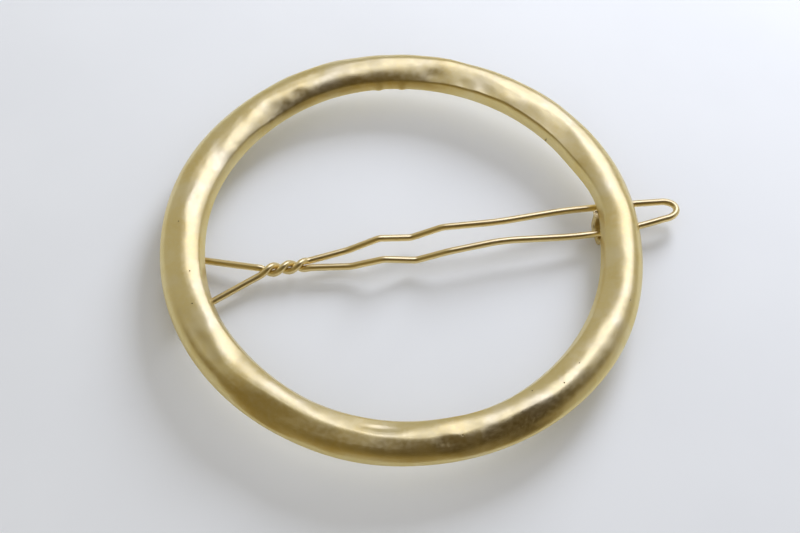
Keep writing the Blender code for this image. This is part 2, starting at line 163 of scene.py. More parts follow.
def finish_metal(sheet: NodeSheet, shader: Node, colour: NodeSocket,
                 roughness: NodeSocket, relief: NodeSocket) -> None:
    """Feed a metal's shader.

    Args:
        sheet: The material's node sheet.
        shader: Its shader node.
        colour: The socket of its colour.
        roughness: The socket of its roughness.
        relief: The socket of its height, in metres.
    """
    bump = sheet.add("ShaderNodeBump", {"Height": relief, "Distance": 1, "Strength": 1})
    sheet.tree.links.new(colour, shader.inputs["Base Color"])
    sheet.tree.links.new(roughness, shader.inputs["Roughness"])
    sheet.tree.links.new(bump.outputs[0], shader.inputs["Normal"])
    shader.inputs["Metallic"].default_value = 1


def geometry_sheet(name: str, inputs: dict[str, str]) -> tuple[NodeSheet, Node]:
    """Start a geometry tree with named inputs.

    Args:
        name: The tree's name.
        inputs: The socket type of each input, by name.

    Returns:
        The node sheet and the tree's input node.
    """
    tree = bpy.data.node_groups.new(name, "GeometryNodeTree")
    for label, kind in inputs.items():
        tree.interface.new_socket(label, in_out="INPUT", socket_type=kind)
    tree.interface.new_socket("Geometry", in_out="OUTPUT", socket_type="NodeSocketGeometry")
    sheet = NodeSheet(tree)
    return sheet, sheet.add("NodeGroupInput")


def finish_geometry(sheet: NodeSheet, geometry: NodeSocket, material: NodeSocket) -> NodeTree:
    """End a geometry tree: smooth shading, real instances and the material.

    Args:
        sheet: The tree's node sheet.
        geometry: The socket of the made geometry.
        material: The socket of the material input.

    Returns:
        The tree.
    """
    smooth = sheet.add("GeometryNodeSetShadeSmooth", {"Geometry": geometry})
    real = sheet.add("GeometryNodeRealizeInstances", {"Geometry": smooth.outputs[0]})
    dressed = sheet.add(
        "GeometryNodeSetMaterial", {"Geometry": real.outputs[0], "Material": material}
    )
    sheet.add("NodeGroupOutput", {"Geometry": dressed.outputs[0]})
    return sheet.tree


def swept_wire_tree() -> NodeTree:
    """A round wire swept along a run of edges, capped where the run is open.

    Returns:
        The tree.
    """
    sheet, given = geometry_sheet("swept_wire", {
        "Geometry": "NodeSocketGeometry",
        "Wire Radius": "NodeSocketFloat",
        "Sides": "NodeSocketInt",
        "Material": "NodeSocketMaterial",
    })
    run = sheet.add("GeometryNodeMeshToCurve", {"Mesh": given.outputs["Geometry"]})
    along = sheet.add("GeometryNodeSplineParameter")
    marked = sheet.add("GeometryNodeStoreNamedAttribute", {
        "Geometry": run.outputs[0], "Name": "along", "Value": along.outputs["Length"],
    }, data_type="FLOAT", domain="POINT")
    section = sheet.add("GeometryNodeCurvePrimitiveCircle", {
        "Resolution": given.outputs["Sides"], "Radius": given.outputs["Wire Radius"],
    })
    turn = sheet.add("GeometryNodeSplineParameter")
    angle = sheet.math("MULTIPLY", turn.outputs["Factor"], 2 * math.pi)
    across = sheet.add("ShaderNodeCombineXYZ", {
        0: sheet.math("COSINE", angle), 1: sheet.math("SINE", angle),
    })
    section = sheet.add("GeometryNodeStoreNamedAttribute", {
        "Geometry": section.outputs[0], "Name": "around", "Value": across.outputs[0],
    }, data_type="FLOAT_VECTOR", domain="POINT")
    swept = sheet.add("GeometryNodeCurveToMesh", {
        "Curve": marked.outputs[0], "Profile Curve": section.outputs[0], "Fill Caps": True,
    })
    return finish_geometry(sheet, swept.outputs[0], given.outputs["Material"])


def hammer_tree() -> NodeTree:
    """Soft hammer marks pressed into a surface above a given height.

    Returns:
        The tree.
    """
    sheet, given = geometry_sheet("hammer_marks", {
        "Geometry": "NodeSocketGeometry",
        "Mark Size": "NodeSocketFloat",
        "Mark Depth": "NodeSocketFloat",
        "Ripple Size": "NodeSocketFloat",
        "Ripple Depth": "NodeSocketFloat",
        "Lowest": "NodeSocketFloat",
        "Full Depth From": "NodeSocketFloat",
        "Seed": "NodeSocketFloat",
        "Material": "NodeSocketMaterial",
    })
    place = sheet.add("GeometryNodeInputPosition").outputs[0]
    depth = None
    for kind in ("Mark", "Ripple"):
        scale = sheet.math("DIVIDE", 1, given.outputs[f"{kind} Size"])
        cloud = sheet.add("ShaderNodeTexNoise", {
            "Vector": place, "W": given.outputs["Seed"], "Scale": scale, "Detail": 0,
        }, noise_dimensions="4D").outputs[0]
        part = sheet.math("MULTIPLY", cloud, given.outputs[f"{kind} Depth"])
        depth = part if depth is None else sheet.math("ADD", depth, part)
    height = sheet.add("ShaderNodeSeparateXYZ", {0: place}).outputs["Z"]
    reach = sheet.add("ShaderNodeMapRange", {
        0: height, 1: given.outputs["Lowest"], 2: given.outputs["Full Depth From"], 4: -1,
    }, interpolation_type="SMOOTHSTEP").outputs[0]
    normal = sheet.add("GeometryNodeInputNormal").outputs[0]
    press = sheet.add("ShaderNodeVectorMath", {
        0: normal, "Scale": sheet.math("MULTIPLY", depth, reach),
    }, operation="SCALE").outputs[0]
    pressed = sheet.add("GeometryNodeSetPosition", {
        "Geometry": given.outputs["Geometry"], "Offset": press,
    })
    return finish_geometry(sheet, pressed.outputs[0], given.outputs["Material"])


# Finishes


@dataclass(frozen=True)
class SatinGold:
    """Satin gold plating over a casting.

    Attributes:
        name: The material's name.
        gold: The plating's colour.
        pale: The colour where the plating is rubbed thin.
        deep: The colour where the plating is thick.
        low_roughness: Roughness of the smoothest patches.
        high_roughness: Roughness of the dullest patches.
        patch_size: Width of a colour patch, in metres.
        fine_patch_share: Width of a fine patch, as a share of a patch's.
        pale_steps: Cloud values between which a patch turns pale.
        deep_steps: Cloud values between which it turns deep.
        speckle_steps: Cloud values between which the fine patches turn pale.
        speckle: How pale the fine patches turn.
        dull_steps: Cloud values between which they turn dull.
        grain_size: Width of the casting's grain, in metres.
        grain_depth: Depth of the casting's grain, in metres.
        grain_roughness: How strong the grain's finer layers are.
        hole_shade_colour: The colour of the painted shade in a pinhole.
        hole_shade_strength: How much of that painted shade shows in its middle.
        hole_shade_steps: How far from a pinhole's middle its painted shade fades, in radii.
        hole_depth: Depth of a pinhole, in metres.
        hole_edge_steps: How far from its middle it turns shallow, in radii.
        hole_flatness: How much closer the pinholes are measured in height, so that
            they reach the hammered surface.
    """

    name: str
    gold: Colour = (0.775, 0.64, 0.29)
    pale: Colour = (0.805, 0.69, 0.375)
    deep: Colour = (0.755, 0.60, 0.24)
    low_roughness: float = 0.28
    high_roughness: float = 0.36
    patch_size: float = 0.0042
    fine_patch_share: float = 1 / 9
    pale_steps: Steps = (0.5, 0.68)
    deep_steps: Steps = (0.48, 0.32)
    speckle_steps: Steps = (0.35, 0.75)
    speckle: float = 0.35
    dull_steps: Steps = (0.3, 0.7)
    grain_size: float = 0.00016
    grain_depth: float = 0.0000012
    grain_roughness: float = 0.6
    hole_shade_colour: Colour = (0.05, 0.03, 0.01)
    hole_shade_strength: float = 0.85
    hole_shade_steps: Steps = (0.55, 1)
    hole_depth: float = 0.00012
    hole_edge_steps: Steps = (0.3, 1.3)
    hole_flatness: float = 0.3

    def material(self, holes: Spots = ()) -> Material:
        """Build the finish.

        Args:
            holes: Centre and radius of each pinhole.

        Returns:
            The material.
        """
        material, sheet, shader = shader_sheet(self.name)
        place = sheet.add("ShaderNodeTexCoord").outputs["Object"]
        patches = sheet.noise(place, self.patch_size, 3)
        fine_patches = sheet.noise(place, self.patch_size * self.fine_patch_share)
        colour = sheet.blend(sheet.ramp(patches, *self.pale_steps), self.gold, self.pale)
        colour = sheet.blend(sheet.ramp(patches, *self.deep_steps), colour, self.deep)
        speckles = sheet.ramp(fine_patches, *self.speckle_steps, 0, self.speckle)
        colour = sheet.blend(speckles, colour, self.pale)
        grain = sheet.noise(place, self.grain_size, 2, self.grain_roughness)
        relief = sheet.math("MULTIPLY", grain, self.grain_depth)
        if holes:
            away = self.hole_field(sheet, place, holes)
            # Painted shade: each pinhole's middle is darkened towards hole_shade_colour.
            dark = sheet.ramp(away, *self.hole_shade_steps, self.hole_shade_strength, 0)
            colour = sheet.blend(dark, colour, self.hole_shade_colour)
            depth = sheet.ramp(away, *self.hole_edge_steps, -self.hole_depth, 0)
            relief = sheet.math("ADD", relief, depth)
        dullness = sheet.ramp(
            fine_patches, *self.dull_steps, self.low_roughness, self.high_roughness
        )
        finish_metal(sheet, shader, colour, dullness, relief)
        return material

    def hole_field(self, sheet: NodeSheet, place: NodeSocket, holes: Spots) -> NodeSocket:
        """Measure how far each place is from the nearest pinhole.

        Args:
            sheet: The material's node sheet.
            place: The socket of the place.
            holes: Centre and radius of each pinhole.

        Returns:
            The distance as a multiple of the nearest hole's radius.
        """
        nearest = None
        flat = (1, 1, self.hole_flatness)
        squashed = sheet.add("ShaderNodeVectorMath", {0: place, 1: flat}, operation="MULTIPLY")
        for centre, radius in holes:
            apart = sheet.add("ShaderNodeVectorMath", {
                0: squashed.outputs[0], 1: tuple(Vector(centre) * Vector(flat)),
            }, operation="DISTANCE")
            shares = sheet.math("DIVIDE", apart.outputs["Value"], radius)
            nearest = shares if nearest is None else sheet.math("MINIMUM", nearest, shares)
        return nearest


@dataclass(frozen=True)
class DrawnWire:
    """Smooth plated spring wire with faint lines from its drawing die.

    Attributes:
        name: The material's name.
        gold: The plating's colour.
        deep: The colour in the draw lines.
        low_roughness: Roughness of the smoothest stretches.
        high_roughness: Roughness of the dullest stretches.
        line_count: How many draw lines lie round the wire.
        line_depth: Depth of a draw line, in metres.
        line_length: Length of a draw line, in metres.
        line_steps: Cloud values between which a line turns deep.
        patch_size: Width of a colour patch, in metres.
        patch_steps: Cloud values between which a patch turns deep.
        patch_darkness: How deep the patches turn.
        dull_steps: Cloud values between which they turn dull.
    """

    name: str
    gold: Colour = (0.88, 0.73, 0.37)
    deep: Colour = (0.82, 0.65, 0.29)
    low_roughness: float = 0.28
    high_roughness: float = 0.33
    line_count: float = 9
    line_depth: float = 0.0000002
    line_length: float = 1 / 120
    line_steps: Steps = (0.35, 0.7)
    patch_size: float = 0.0016
    patch_steps: Steps = (0.5, 0.75)
    patch_darkness: float = 0.6
    dull_steps: Steps = (0.35, 0.7)

    def material(self) -> Material:
        """Build the finish.

        Returns:
            The material.
        """
        material, sheet, shader = shader_sheet(self.name)
        along = sheet.add("ShaderNodeAttribute", attribute_name="along").outputs["Fac"]
        around = sheet.add("ShaderNodeAttribute", attribute_name="around").outputs["Vector"]
        turn = sheet.add("ShaderNodeSeparateXYZ", {0: around})
        run = sheet.add("ShaderNodeCombineXYZ", {
            0: sheet.math("MULTIPLY", turn.outputs[0], self.line_count),
            1: sheet.math("MULTIPLY", turn.outputs[1], self.line_count),
            2: sheet.math("DIVIDE", along, self.line_length),
        }).outputs[0]
        lines = sheet.noise(run, 1)
        place = sheet.add("ShaderNodeTexCoord").outputs["Object"]
        patches = sheet.noise(place, self.patch_size)
        colour = sheet.blend(sheet.ramp(lines, *self.line_steps), self.gold, self.deep)
        dark = sheet.ramp(patches, *self.patch_steps, 0, self.patch_darkness)
        colour = sheet.blend(dark, colour, self.deep)
        relief = sheet.math("MULTIPLY", lines, self.line_depth)
        dullness = sheet.ramp(patches, *self.dull_steps, self.low_roughness, self.high_roughness)
        finish_metal(sheet, shader, colour, dullness, relief)
        return material


@dataclass(frozen=True)
class PalePaper:
    """Smooth pale board for the floor.

    Attributes:
        name: The material's name.
        colour: The board's colour.
        shade: The colour of its faint clouds.
        cloud_size: Width of a cloud, in metres.
        cloud_steps: Cloud values between which the colour turns to the shade.
        roughness: The board's roughness.
        shine: Strength of its reflections.
    """

    name: str
    colour: Colour = (0.82, 0.845, 0.895)
    shade: Colour = (0.805, 0.83, 0.88)
    cloud_size: float = 0.02
    cloud_steps: Steps = (0.35, 0.65)
    roughness: float = 0.55
    shine: float = 0.3

    def material(self) -> Material:
        """Build the finish.

        Returns:
            The material.
        """
        material, sheet, shader = shader_sheet(self.name)
        place = sheet.add("ShaderNodeTexCoord").outputs["Object"]
        clouds = sheet.noise(place, self.cloud_size, 3)
        colour = sheet.blend(sheet.ramp(clouds, *self.cloud_steps), self.colour, self.shade)
        sheet.tree.links.new(colour, shader.inputs["Base Color"])
        shader.inputs["Roughness"].default_value = self.roughness
        shader.inputs["Specular IOR Level"].default_value = self.shine
        return material


# Mesh helpers


def swell(turns: np.ndarray, place_share: float, spread_share: float) -> np.ndarray:
    """A smooth hump round the ring.

    Args:
        turns: Places round the ring, as shares of a turn.
        place_share: Where the hump peaks.
        spread_share: How far it reaches to each side.

    Returns:
        The hump's height at each place, from 0 to 1.
    """
    apart = np.abs(turns - place_share) % 1
    near = np.minimum(apart, 1 - apart) / spread_share
    return np.where(near < 1, (1 + np.cos(math.pi * np.minimum(near, 1))) / 2, 0)


def smooth_run(before: np.ndarray, here: np.ndarray, after: np.ndarray, beyond: np.ndarray,
               way: np.ndarray) -> np.ndarray:
    """Run smoothly from one value to the next, with the slopes of their neighbours.

    Args:
        before: The values before the run.
        here: The values where it starts.
        after: The values where it ends.
        beyond: The values past its end.
        way: How far along the run each place lies, from 0 to 1.

    Returns:
        The values at the places.
    """
    leaving = (after - before) / 2
    arriving = (beyond - here) / 2
    run = here + (after - here) * (3 * way ** 2 - 2 * way ** 3)
    return run + leaving * (way ** 3 - 2 * way ** 2 + way) + arriving * (way ** 3 - way ** 2)


def rounded_corner(before: Vector, corner: Vector, after: Vector, steps: int) -> list[Vector]:
    """Round a corner.

    Args:
        before: Where the rounding starts.
        corner: The corner itself.
        after: Where the rounding ends.
        steps: How many pieces the rounding has.

    Returns:
        The points of the rounding, its ends included.
    """
    made = []
    for step in range(steps + 1):
        share = step / steps
        made.append(
            before * (1 - share) ** 2 + corner * 2 * share * (1 - share) + after * share ** 2
        )
    return made


def fillet(before: Vector, corner: Vector, after: Vector, setback: float, room: float,
           steps: int) -> list[Vector]:
    """Round one corner of a run.

    Args:
        before: The corner before it.
        corner: The corner itself.
        after: The corner after it.
        setback: How far from the corner the rounding starts.
        room: The setback's limit is each side's length divided by this.
        steps: How many pieces the rounding has.

    Returns:
        The points of the rounding, its ends included.
    """
    back = before - corner
    on = after - corner
    reach = min(setback, back.length / room, on.length / room)
    start = corner + back.normalized() * reach
    return rounded_corner(start, corner, corner + on.normalized() * reach, steps)


def crossing(start: np.ndarray, heading: np.ndarray, corner: np.ndarray,
             wall: np.ndarray) -> np.ndarray:
    """Find where lines meet walls.

    Args:
        start: A point of each line.
        heading: Each line's direction.
        corner: A point of each wall.
        wall: Each wall's direction.

    Returns:
        The meeting points.
    """
    apart = corner - start
    turned = heading[:, 0] * wall[:, 1] - heading[:, 1] * wall[:, 0]
    along = (apart[:, 0] * wall[:, 1] - apart[:, 1] * wall[:, 0]) / turned
    return start + heading * along[:, None]


def grid_faces(turns: int, around: int) -> np.ndarray:
    """Number the corners of a closed grid's faces.

    Args:
        turns: How many loops the grid has.
        around: How many points each loop has.

    Returns:
        Four corner numbers for each face.
    """
    loop = np.arange(turns)[:, None]
    point = np.arange(around)[None, :]
    next_loop = (loop + 1) % turns
    next_point = (point + 1) % around
    corners = (
        loop * around + point, loop * around + next_point,
        next_loop * around + next_point, next_loop * around + point,
    )
    return np.stack(np.broadcast_arrays(*corners), -1).reshape(-1, 4)


def linked_object(name: str, mesh: Mesh) -> Object:
    """Put a mesh in the scene at the origin.

    Args:
        name: The object's name.
        mesh: Its mesh.

    Returns:
        The object.
    """
    made = bpy.data.objects.new(name, mesh)
    bpy.context.scene.collection.objects.link(made)
    return made


def mesh_object(name: str, bm: BMesh, material: Material) -> Object:
    """Turn a finished bmesh into a smooth object that faces outwards.

    Args:
        name: The object's name.
        bm: The bmesh, which is freed.
        material: Its finish.

    Returns:
        The object.
    """
    bmesh.ops.recalc_face_normals(bm, faces=bm.faces)
    mesh = bpy.data.meshes.new(name)
    bm.to_mesh(mesh)
    bm.free()
    mesh.shade_smooth()
    mesh.materials.append(material)
    return linked_object(name, mesh)


def bridge_all(bm: BMesh, loops: list[list]) -> None:
    """Join each loop of points to the next by faces."""
    for here, after in zip(loops, loops[1:]):
        bridge(bm, here, after)


def bridge(bm: BMesh, here: list, after: list) -> None:
    """Join two loops of points by faces.

    Args:
        bm: The bmesh.
        here: The first loop's points.
        after: The second loop's points.
    """
    count = len(here)
    for step in range(count):
        following = (step + 1) % count
        bm.faces.new((here[step], here[following], after[following], after[step]))


def with_nodes(made: Object, tree: NodeTree, **inputs: object) -> None:
    """Run a geometry tree on an object and keep the result as a plain mesh.

    Args:
        made: The object, whose mesh is replaced.
        tree: The geometry tree.
        **inputs: The tree's inputs, with _ for each space in a name.
    """
    modifier = made.modifiers.new(tree.name, "NODES")
    modifier.node_group = tree
    wanted = {name.replace("_", " "): value for name, value in inputs.items()}
    for item in tree.interface.items_tree:
        if item.in_out == "INPUT" and item.name.lower() in wanted:
            modifier[item.identifier] = wanted[item.name.lower()]
    keep_as_mesh(made)


def keep_as_mesh(made: Object) -> None:
    """Keep what an object's modifiers make as its plain mesh.

    Args:
        made: The object.
    """
    depsgraph = bpy.context.evaluated_depsgraph_get()
    result = bpy.data.meshes.new_from_object(
        made.evaluated_get(depsgraph), preserve_all_data_layers=True, depsgraph=depsgraph
    )
    made.modifiers.clear()
    made.data = result


def path_object(name: str, points: list[Vector], closed: bool) -> Object:
    """Make a run of edges that a wire can be swept along.

    Args:
        name: The object's name.
        points: The run's points.
        closed: Whether the last point joins the first.

    Returns:
        The object.
    """
    edges = [(step, step + 1) for step in range(len(points) - 1)]
    if closed:
        edges.append((len(points) - 1, 0))
    mesh = bpy.data.meshes.new(name)
    mesh.from_pydata([tuple(point) for point in points], edges, [])
    return linked_object(name, mesh)


def hand_over(piece: Object, body: Body, slot: str, *nodes: str) -> None:
    """Tell the frame what a finished piece rides on and stands for.

    Args:
        piece: The finished piece.
        body: The body that it moves with.
        slot: The record's material slot; not used.
        *nodes: The solids that it replaces.
    """
    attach(piece, body.value)
    if nodes:
        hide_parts(*nodes)
    log.info("%s: %d faces, on %s", piece.name, len(piece.data.polygons), body.value)


# Ring


@dataclass(frozen=True)
class Pinch:
    """A place where one edge of the band is drawn in, or let out below zero.

    Attributes:
        edge: Which edge moves.
        place_share: Place round the ring, as a share of a turn from the catch.
        spread_share: How far the change reaches to each side.
        depth_share: How far the edge moves, as a share of the band's width.
    """

    edge: Edge
    place_share: float
    spread_share: float
    depth_share: float


@dataclass(frozen=True)
class Station:
    """The crown's form at one place round the ring.

    Attributes:
        crest_share: Place of the crest, as a share of the crown's half width.
        outer_fall_share: Fall of the outer side, as a share of the ring's height.
        inner_fall_share: Fall of the inner side, as a share of the ring's height.
        outer_fullness: How late the outer side falls, 1 being a straight slope.
        inner_fullness: How late the inner side falls.
    """

    crest_share: float
    outer_fall_share: float
    inner_fall_share: float
    outer_fullness: float
    inner_fullness: float


@dataclass(frozen=True)
class Dent:
    """A shallow hammer dent in the crown, or a swell where its depth is negative.

    Attributes:
        turn_share: Place round the ring, as a share of a turn from the catch.
        across_share: Place across the crown, -1 at the inner edge, 1 at the outer.
        reach_share: Reach round the ring, as a share of a turn.
        spread_share: Reach across, as a share of the crown's half width.
        depth: Depth in the middle.
        slant_share: How far the dent shifts outwards from its middle to its far end.
    """

    turn_share: float
    across_share: float
    reach_share: float
    spread_share: float
    depth: float
    slant_share: float = 0

    def press(self, turns: np.ndarray, across: float) -> np.ndarray:
        """Find how deep the dent is.

        Args:
            turns: Places round the ring, as shares of a turn.
            across: Place across the crown, from -1 to 1.

        Returns:
            The depth at each place.
        """
        along = ((turns - self.turn_share + 0.5) % 1 - 0.5) / self.reach_share
        away = (across - self.across_share - self.slant_share * along) / self.spread_share
        reach = np.minimum(np.hypot(along, away), 1)
        return self.depth * (1 + np.cos(math.pi * reach)) / 2


@dataclass(frozen=True)
class Pinhole:
    """A small casting hole in the ring's face.

    Attributes:
        turn_share: Place round the ring, as a share of a turn from the catch.
        across_share: Place across the band, -1 at the inner edge, 1 at the outer.
        radius: Radius of the hole, in metres.
        drop: How far below the crown it lies, on a wall, in metres.
    """

    turn_share: float
    across_share: float
    radius: float
    drop: float = 0


@dataclass
class HammeredRing:
    """The cast ring: a soft hammered crown on short walls over a flat back.

    Attributes:
        centre: Middle of the ring's back.
        radius: Radius of the band's middle line.
        band_width: Width of the band.
        height: Height of the crown's crest above the back.
        outer_lean: How far the outer wall leans in.
        inner_lean: How far the inner wall leans in.
        outer_rounding: How far the crown's outer edge is rounded, across the band.
        inner_rounding: How far its inner edge is rounded, across the band.
        outer_drop_share: How much of the outer wall that rounding takes.
        inner_drop_share: How much of the inner wall that rounding takes.
        back_rounding: Rounding between wall and back.
        crest_softness_share: Rounding of the crest.
        stub_spread_share: Reach of a casting stub round the ring.
        stub_reach: How far a casting stub stands in.
        turn_steps: Loops round the ring.
        crown_steps: Points across half the crown.
        corner_steps: Points in each rounding.
        back_steps: Points across half the back.
        mark_size: Width of a hammer mark.
        mark_depth: Depth of a hammer mark.
        ripple_size: Width of a ripple between the marks.
        ripple_depth: Depth of a ripple.
        mark_height_shares: Where the marks start and where they have their full
            depth, as shares of the ring's height.
        seed: Seed of the marks' places.
    """

    centre: Vector
    radius: float = 0.0254
    band_width: float = 0.00526
    height: float = 0.00185
    outer_lean: float = 0.00032
    inner_lean: float = 0.0004
    outer_rounding: float = 0.001
    inner_rounding: float = 0.00028
    outer_drop_share: float = 0.65
    inner_drop_share: float = 0.3
    back_rounding: float = 0.00022
    crest_softness_share: float = 0.06
    stub_spread_share: float = 0.005
    stub_reach: float = 0.00016
    turn_steps: int = 800
    crown_steps: int = 30
    corner_steps: int = 6
    back_steps: int = 5
    mark_size: float = 0.0036
    mark_depth: float = 0.00018
    ripple_size: float = 0.0015
    ripple_depth: float = 0.00004
    mark_height_shares: Steps = (0.2, 0.5)
    seed: float = 3.0

    stub_shares = (0.221, 0.241)
    pinches = (
        Pinch(Edge.INNER, 0.010, 0.050, 0.110),
        Pinch(Edge.OUTER, 0.965, 0.090, 0.060),
        Pinch(Edge.INNER, 0.530, 0.060, 0.025),
        Pinch(Edge.INNER, 0.360, 0.090, -0.035),
        Pinch(Edge.OUTER, 0.415, 0.070, -0.025),
        Pinch(Edge.INNER, 0.600, 0.060, -0.022),
        Pinch(Edge.OUTER, 0.265, 0.060, -0.022),
        Pinch(Edge.OUTER, 0.145, 0.070, 0.020),
        Pinch(Edge.INNER, 0.790, 0.060, 0.030),
        Pinch(Edge.OUTER, 0.690, 0.050, -0.020),
        Pinch(Edge.OUTER, 0.200, 0.200, 0.035),
        Pinch(Edge.INNER, 0.200, 0.180, -0.035),
    )
    # At even steps of the turn. A program fitted these to the ring's shading in the
    # photograph, and they were rounded.
    station_shares = (
        Station(0.15, 0.30, 0.30, 1.5, 1.8),
        Station(0.05, 0.30, 0.30, 1.4, 1.5),
        Station(0.20, 0.20, 0.25, 1.1, 1.1),
        Station(0.00, 0.20, 0.20, 1.8, 1.2),
        Station(0.30, 0.50, 0.25, 2.8, 1.1),
        Station(0.30, 0.50, 0.45, 2.3, 1.6),
        Station(0.25, 0.55, 0.50, 2.2, 2.5),
        Station(0.05, 0.45, 0.50, 2.6, 2.2),
        Station(0.20, 0.50, 0.55, 2.5, 1.6),
        Station(0.00, 0.45, 0.45, 2.2, 2.0),
        Station(0.15, 0.50, 0.50, 2.2, 2.1),
        Station(-0.05, 0.40, 0.50, 1.8, 1.9),
        Station(-0.05, 0.40, 0.35, 1.6, 2.1),
        Station(-0.30, 0.30, 0.25, 1.4, 1.9),
        Station(0.10, 0.25, 0.40, 1.2, 1.8),
        Station(-0.15, 0.35, 0.35, 1.2, 2.2),
        Station(-0.10, 0.35, 0.35, 1.3, 1.4),
        Station(0.00, 0.35, 0.40, 1.3, 1.1),
        Station(0.00, 0.50, 0.30, 1.7, 2.5),
        Station(-0.15, 0.60, 0.25, 1.6, 1.8),
        Station(0.10, 0.50, 0.40, 1.5, 1.7),
        Station(0.05, 0.45, 0.40, 1.3, 2.3),
        Station(0.20, 0.35, 0.40, 1.4, 1.4),
        Station(0.30, 0.30, 0.45, 1.3, 1.8),
    )
    dents = (
        Dent(0.030, 1.00, 0.050, 0.60, 0.00008),
        Dent(0.105, -1.00, 0.030, 0.90, 0.00004),
        Dent(0.130, -0.60, 0.010, 0.60, -0.00004),
        Dent(0.148, -0.80, 0.010, 0.60, 0.00005),
        Dent(0.168, -0.80, 0.011, 0.70, 0.00007),
        Dent(0.195, -0.50, 0.012, 0.50, 0.00004),
        Dent(0.310, -0.45, 0.010, 0.45, 0.00008),
        Dent(0.340, -0.60, 0.014, 0.50, 0.00005, -0.3),
        Dent(0.362, -0.10, 0.016, 0.50, 0.00003, -0.4),
        Dent(0.395, -0.20, 0.020, 0.50, 0.00005, -0.3),
        Dent(0.445, -0.30, 0.020, 0.40, 0.00006),
        Dent(0.480, 0.50, 0.030, 0.60, 0.00007),
        Dent(0.560, 0.40, 0.028, 0.50, 0.00008),
        Dent(0.628, 0.70, 0.034, 0.80, 0.00014, -0.3),
        Dent(0.695, 0.90, 0.036, 0.90, -0.00014),
        Dent(0.704, -0.45, 0.018, 0.22, 0.00005),
        Dent(0.750, 0.45, 0.015, 0.50, 0.00012, 0.2),
        Dent(0.770, 0.60, 0.008, 0.60, -0.00006, -0.3),
        Dent(0.797, 0.60, 0.022, 0.60, 0.00013, -0.2),
        Dent(0.855, -0.60, 0.034, 0.60, 0.00010, 0.3),
        Dent(0.925, -1.00, 0.040, 1.00, 0.00010),
    )
    # Read off the photograph as pixels, which a program turned into shares
    pinholes = (
        Pinhole(0.382, -0.98, 0.00012, 0.0005),
        Pinhole(0.083, -0.98, 0.00016, 0.0008),
        Pinhole(0.858, -0.75, 0.00008),
        Pinhole(0.857, -0.10, 0.00007),
        Pinhole(0.838, 0.05, 0.00008),
        Pinhole(0.817, -0.55, 0.00009),
        Pinhole(0.818, 0.90, 0.00010),
        Pinhole(0.758, 0.15, 0.00010),
        Pinhole(0.952, -0.75, 0.00008),
        Pinhole(0.920, 0.55, 0.00008),
        Pinhole(0.906, -0.45, 0.00007),
        Pinhole(0.504, -0.30, 0.00008),
        Pinhole(0.531, -0.05, 0.00008),
        Pinhole(0.461, 0.20, 0.00008),
        Pinhole(0.513, 0.85, 0.00008),
    )

    def edges(self, turns: np.ndarray) -> tuple[np.ndarray, np.ndarray]:
        """Find the band's edges.

        Args:
            turns: Places round the ring, as shares of a turn.

        Returns:
            The inner and the outer radius at each place.
        """
        inner = np.full_like(turns, self.radius - self.band_width / 2)
        outer = np.full_like(turns, self.radius + self.band_width / 2)
        for pinch in self.pinches:
            change = self.band_width * pinch.depth_share
            change = change * swell(turns, pinch.place_share, pinch.spread_share)
            if pinch.edge is Edge.INNER:
                inner = inner + change
            else:
                outer = outer - change
        return inner, outer

    def form(self, turns: np.ndarray) -> Station:
        """Find the crown's form between its stations.

        Args:
            turns: Places round the ring, as shares of a turn.

        Returns:
            A station whose values are arrays, one value for each place.
        """
        table = np.array([astuple(station) for station in self.station_shares])
        place = turns * len(table)
        first = np.floor(place).astype(int)
        near = [table[(first + step) % len(table)].T for step in (-1, 0, 1, 2)]
        return Station(*smooth_run(*near, place - first))

    def side_fall(self, past_crest: np.ndarray, fullness: np.ndarray) -> np.ndarray:
        """Find how far one side has fallen past the crest, as a share of its fall."""
        softness = self.crest_softness_share
        return (np.hypot(np.maximum(past_crest, 0), softness) - softness) ** fullness

    def crown(self, turns: np.ndarray, across: float) -> np.ndarray:
        """Find the crown's height above the back.

        Args:
            turns: Places round the ring, as shares of a turn.
            across: Place across the crown, from -1 to 1.

        Returns:
            The height at each place.
        """
        form = self.form(turns)
        outwards = (across - form.crest_share) / (1 - form.crest_share)
        inwards = (form.crest_share - across) / (1 + form.crest_share)
        fall = form.outer_fall_share * self.side_fall(outwards, form.outer_fullness)
        fall = fall + form.inner_fall_share * self.side_fall(inwards, form.inner_fullness)
        return self.height * (1 - fall) - sum(dent.press(turns, across) for dent in self.dents)

    def section_half(self, turns: np.ndarray, edge: Edge) -> list[np.ndarray]:
        """Trace half the section at every place round the ring.

        Args:
            turns: Places round the ring, as shares of a turn.
            edge: Which half is traced.

        Returns:
            For each point, from beside the crest to the back, its distance
            from the band's middle and its height, at every place.
        """
        side = edge.value
        inner, outer = self.edges(turns)
        half_width = (outer - inner) / 2
        lean, rounding, drop = self.outer_lean, self.outer_rounding, self.outer_drop_share
        if edge is Edge.INNER:
            lean, rounding, drop = self.inner_lean, self.inner_rounding, self.inner_drop_share
        crown_half = half_width - lean
        round_share = 1 - rounding / float(crown_half.mean())
        points = []
        for step in range(1, self.crown_steps):
            share = side * round_share * step / self.crown_steps
            points.append(np.stack([crown_half * share, self.crown(turns, share)], -1))
        last = points[-1]
        foot = side * half_width
        if edge is Edge.INNER:
            for place_share in self.stub_shares:
                foot = foot - self.stub_reach * swell(turns, place_share, self.stub_spread_share)
        top = np.stack([side * crown_half, self.crown(turns, side)], -1)
        corner = np.stack([foot, np.zeros_like(foot)], -1)
        wall = corner - top
        wall = wall / np.linalg.norm(wall, axis=-1, keepdims=True)
        share = side * round_share
        above = np.stack([crown_half * share, self.crown(turns, share)], -1)
        crease = crossing(above, above - last, corner, wall)
        back = corner - np.array([side * self.back_rounding, 0])
        points += rounded_corner(
            above, crease, crease + (corner - crease) * drop, self.corner_steps
        )
        points += rounded_corner(
            corner - wall * self.back_rounding, corner, back, self.corner_steps
        )
        for step in range(1, self.back_steps):
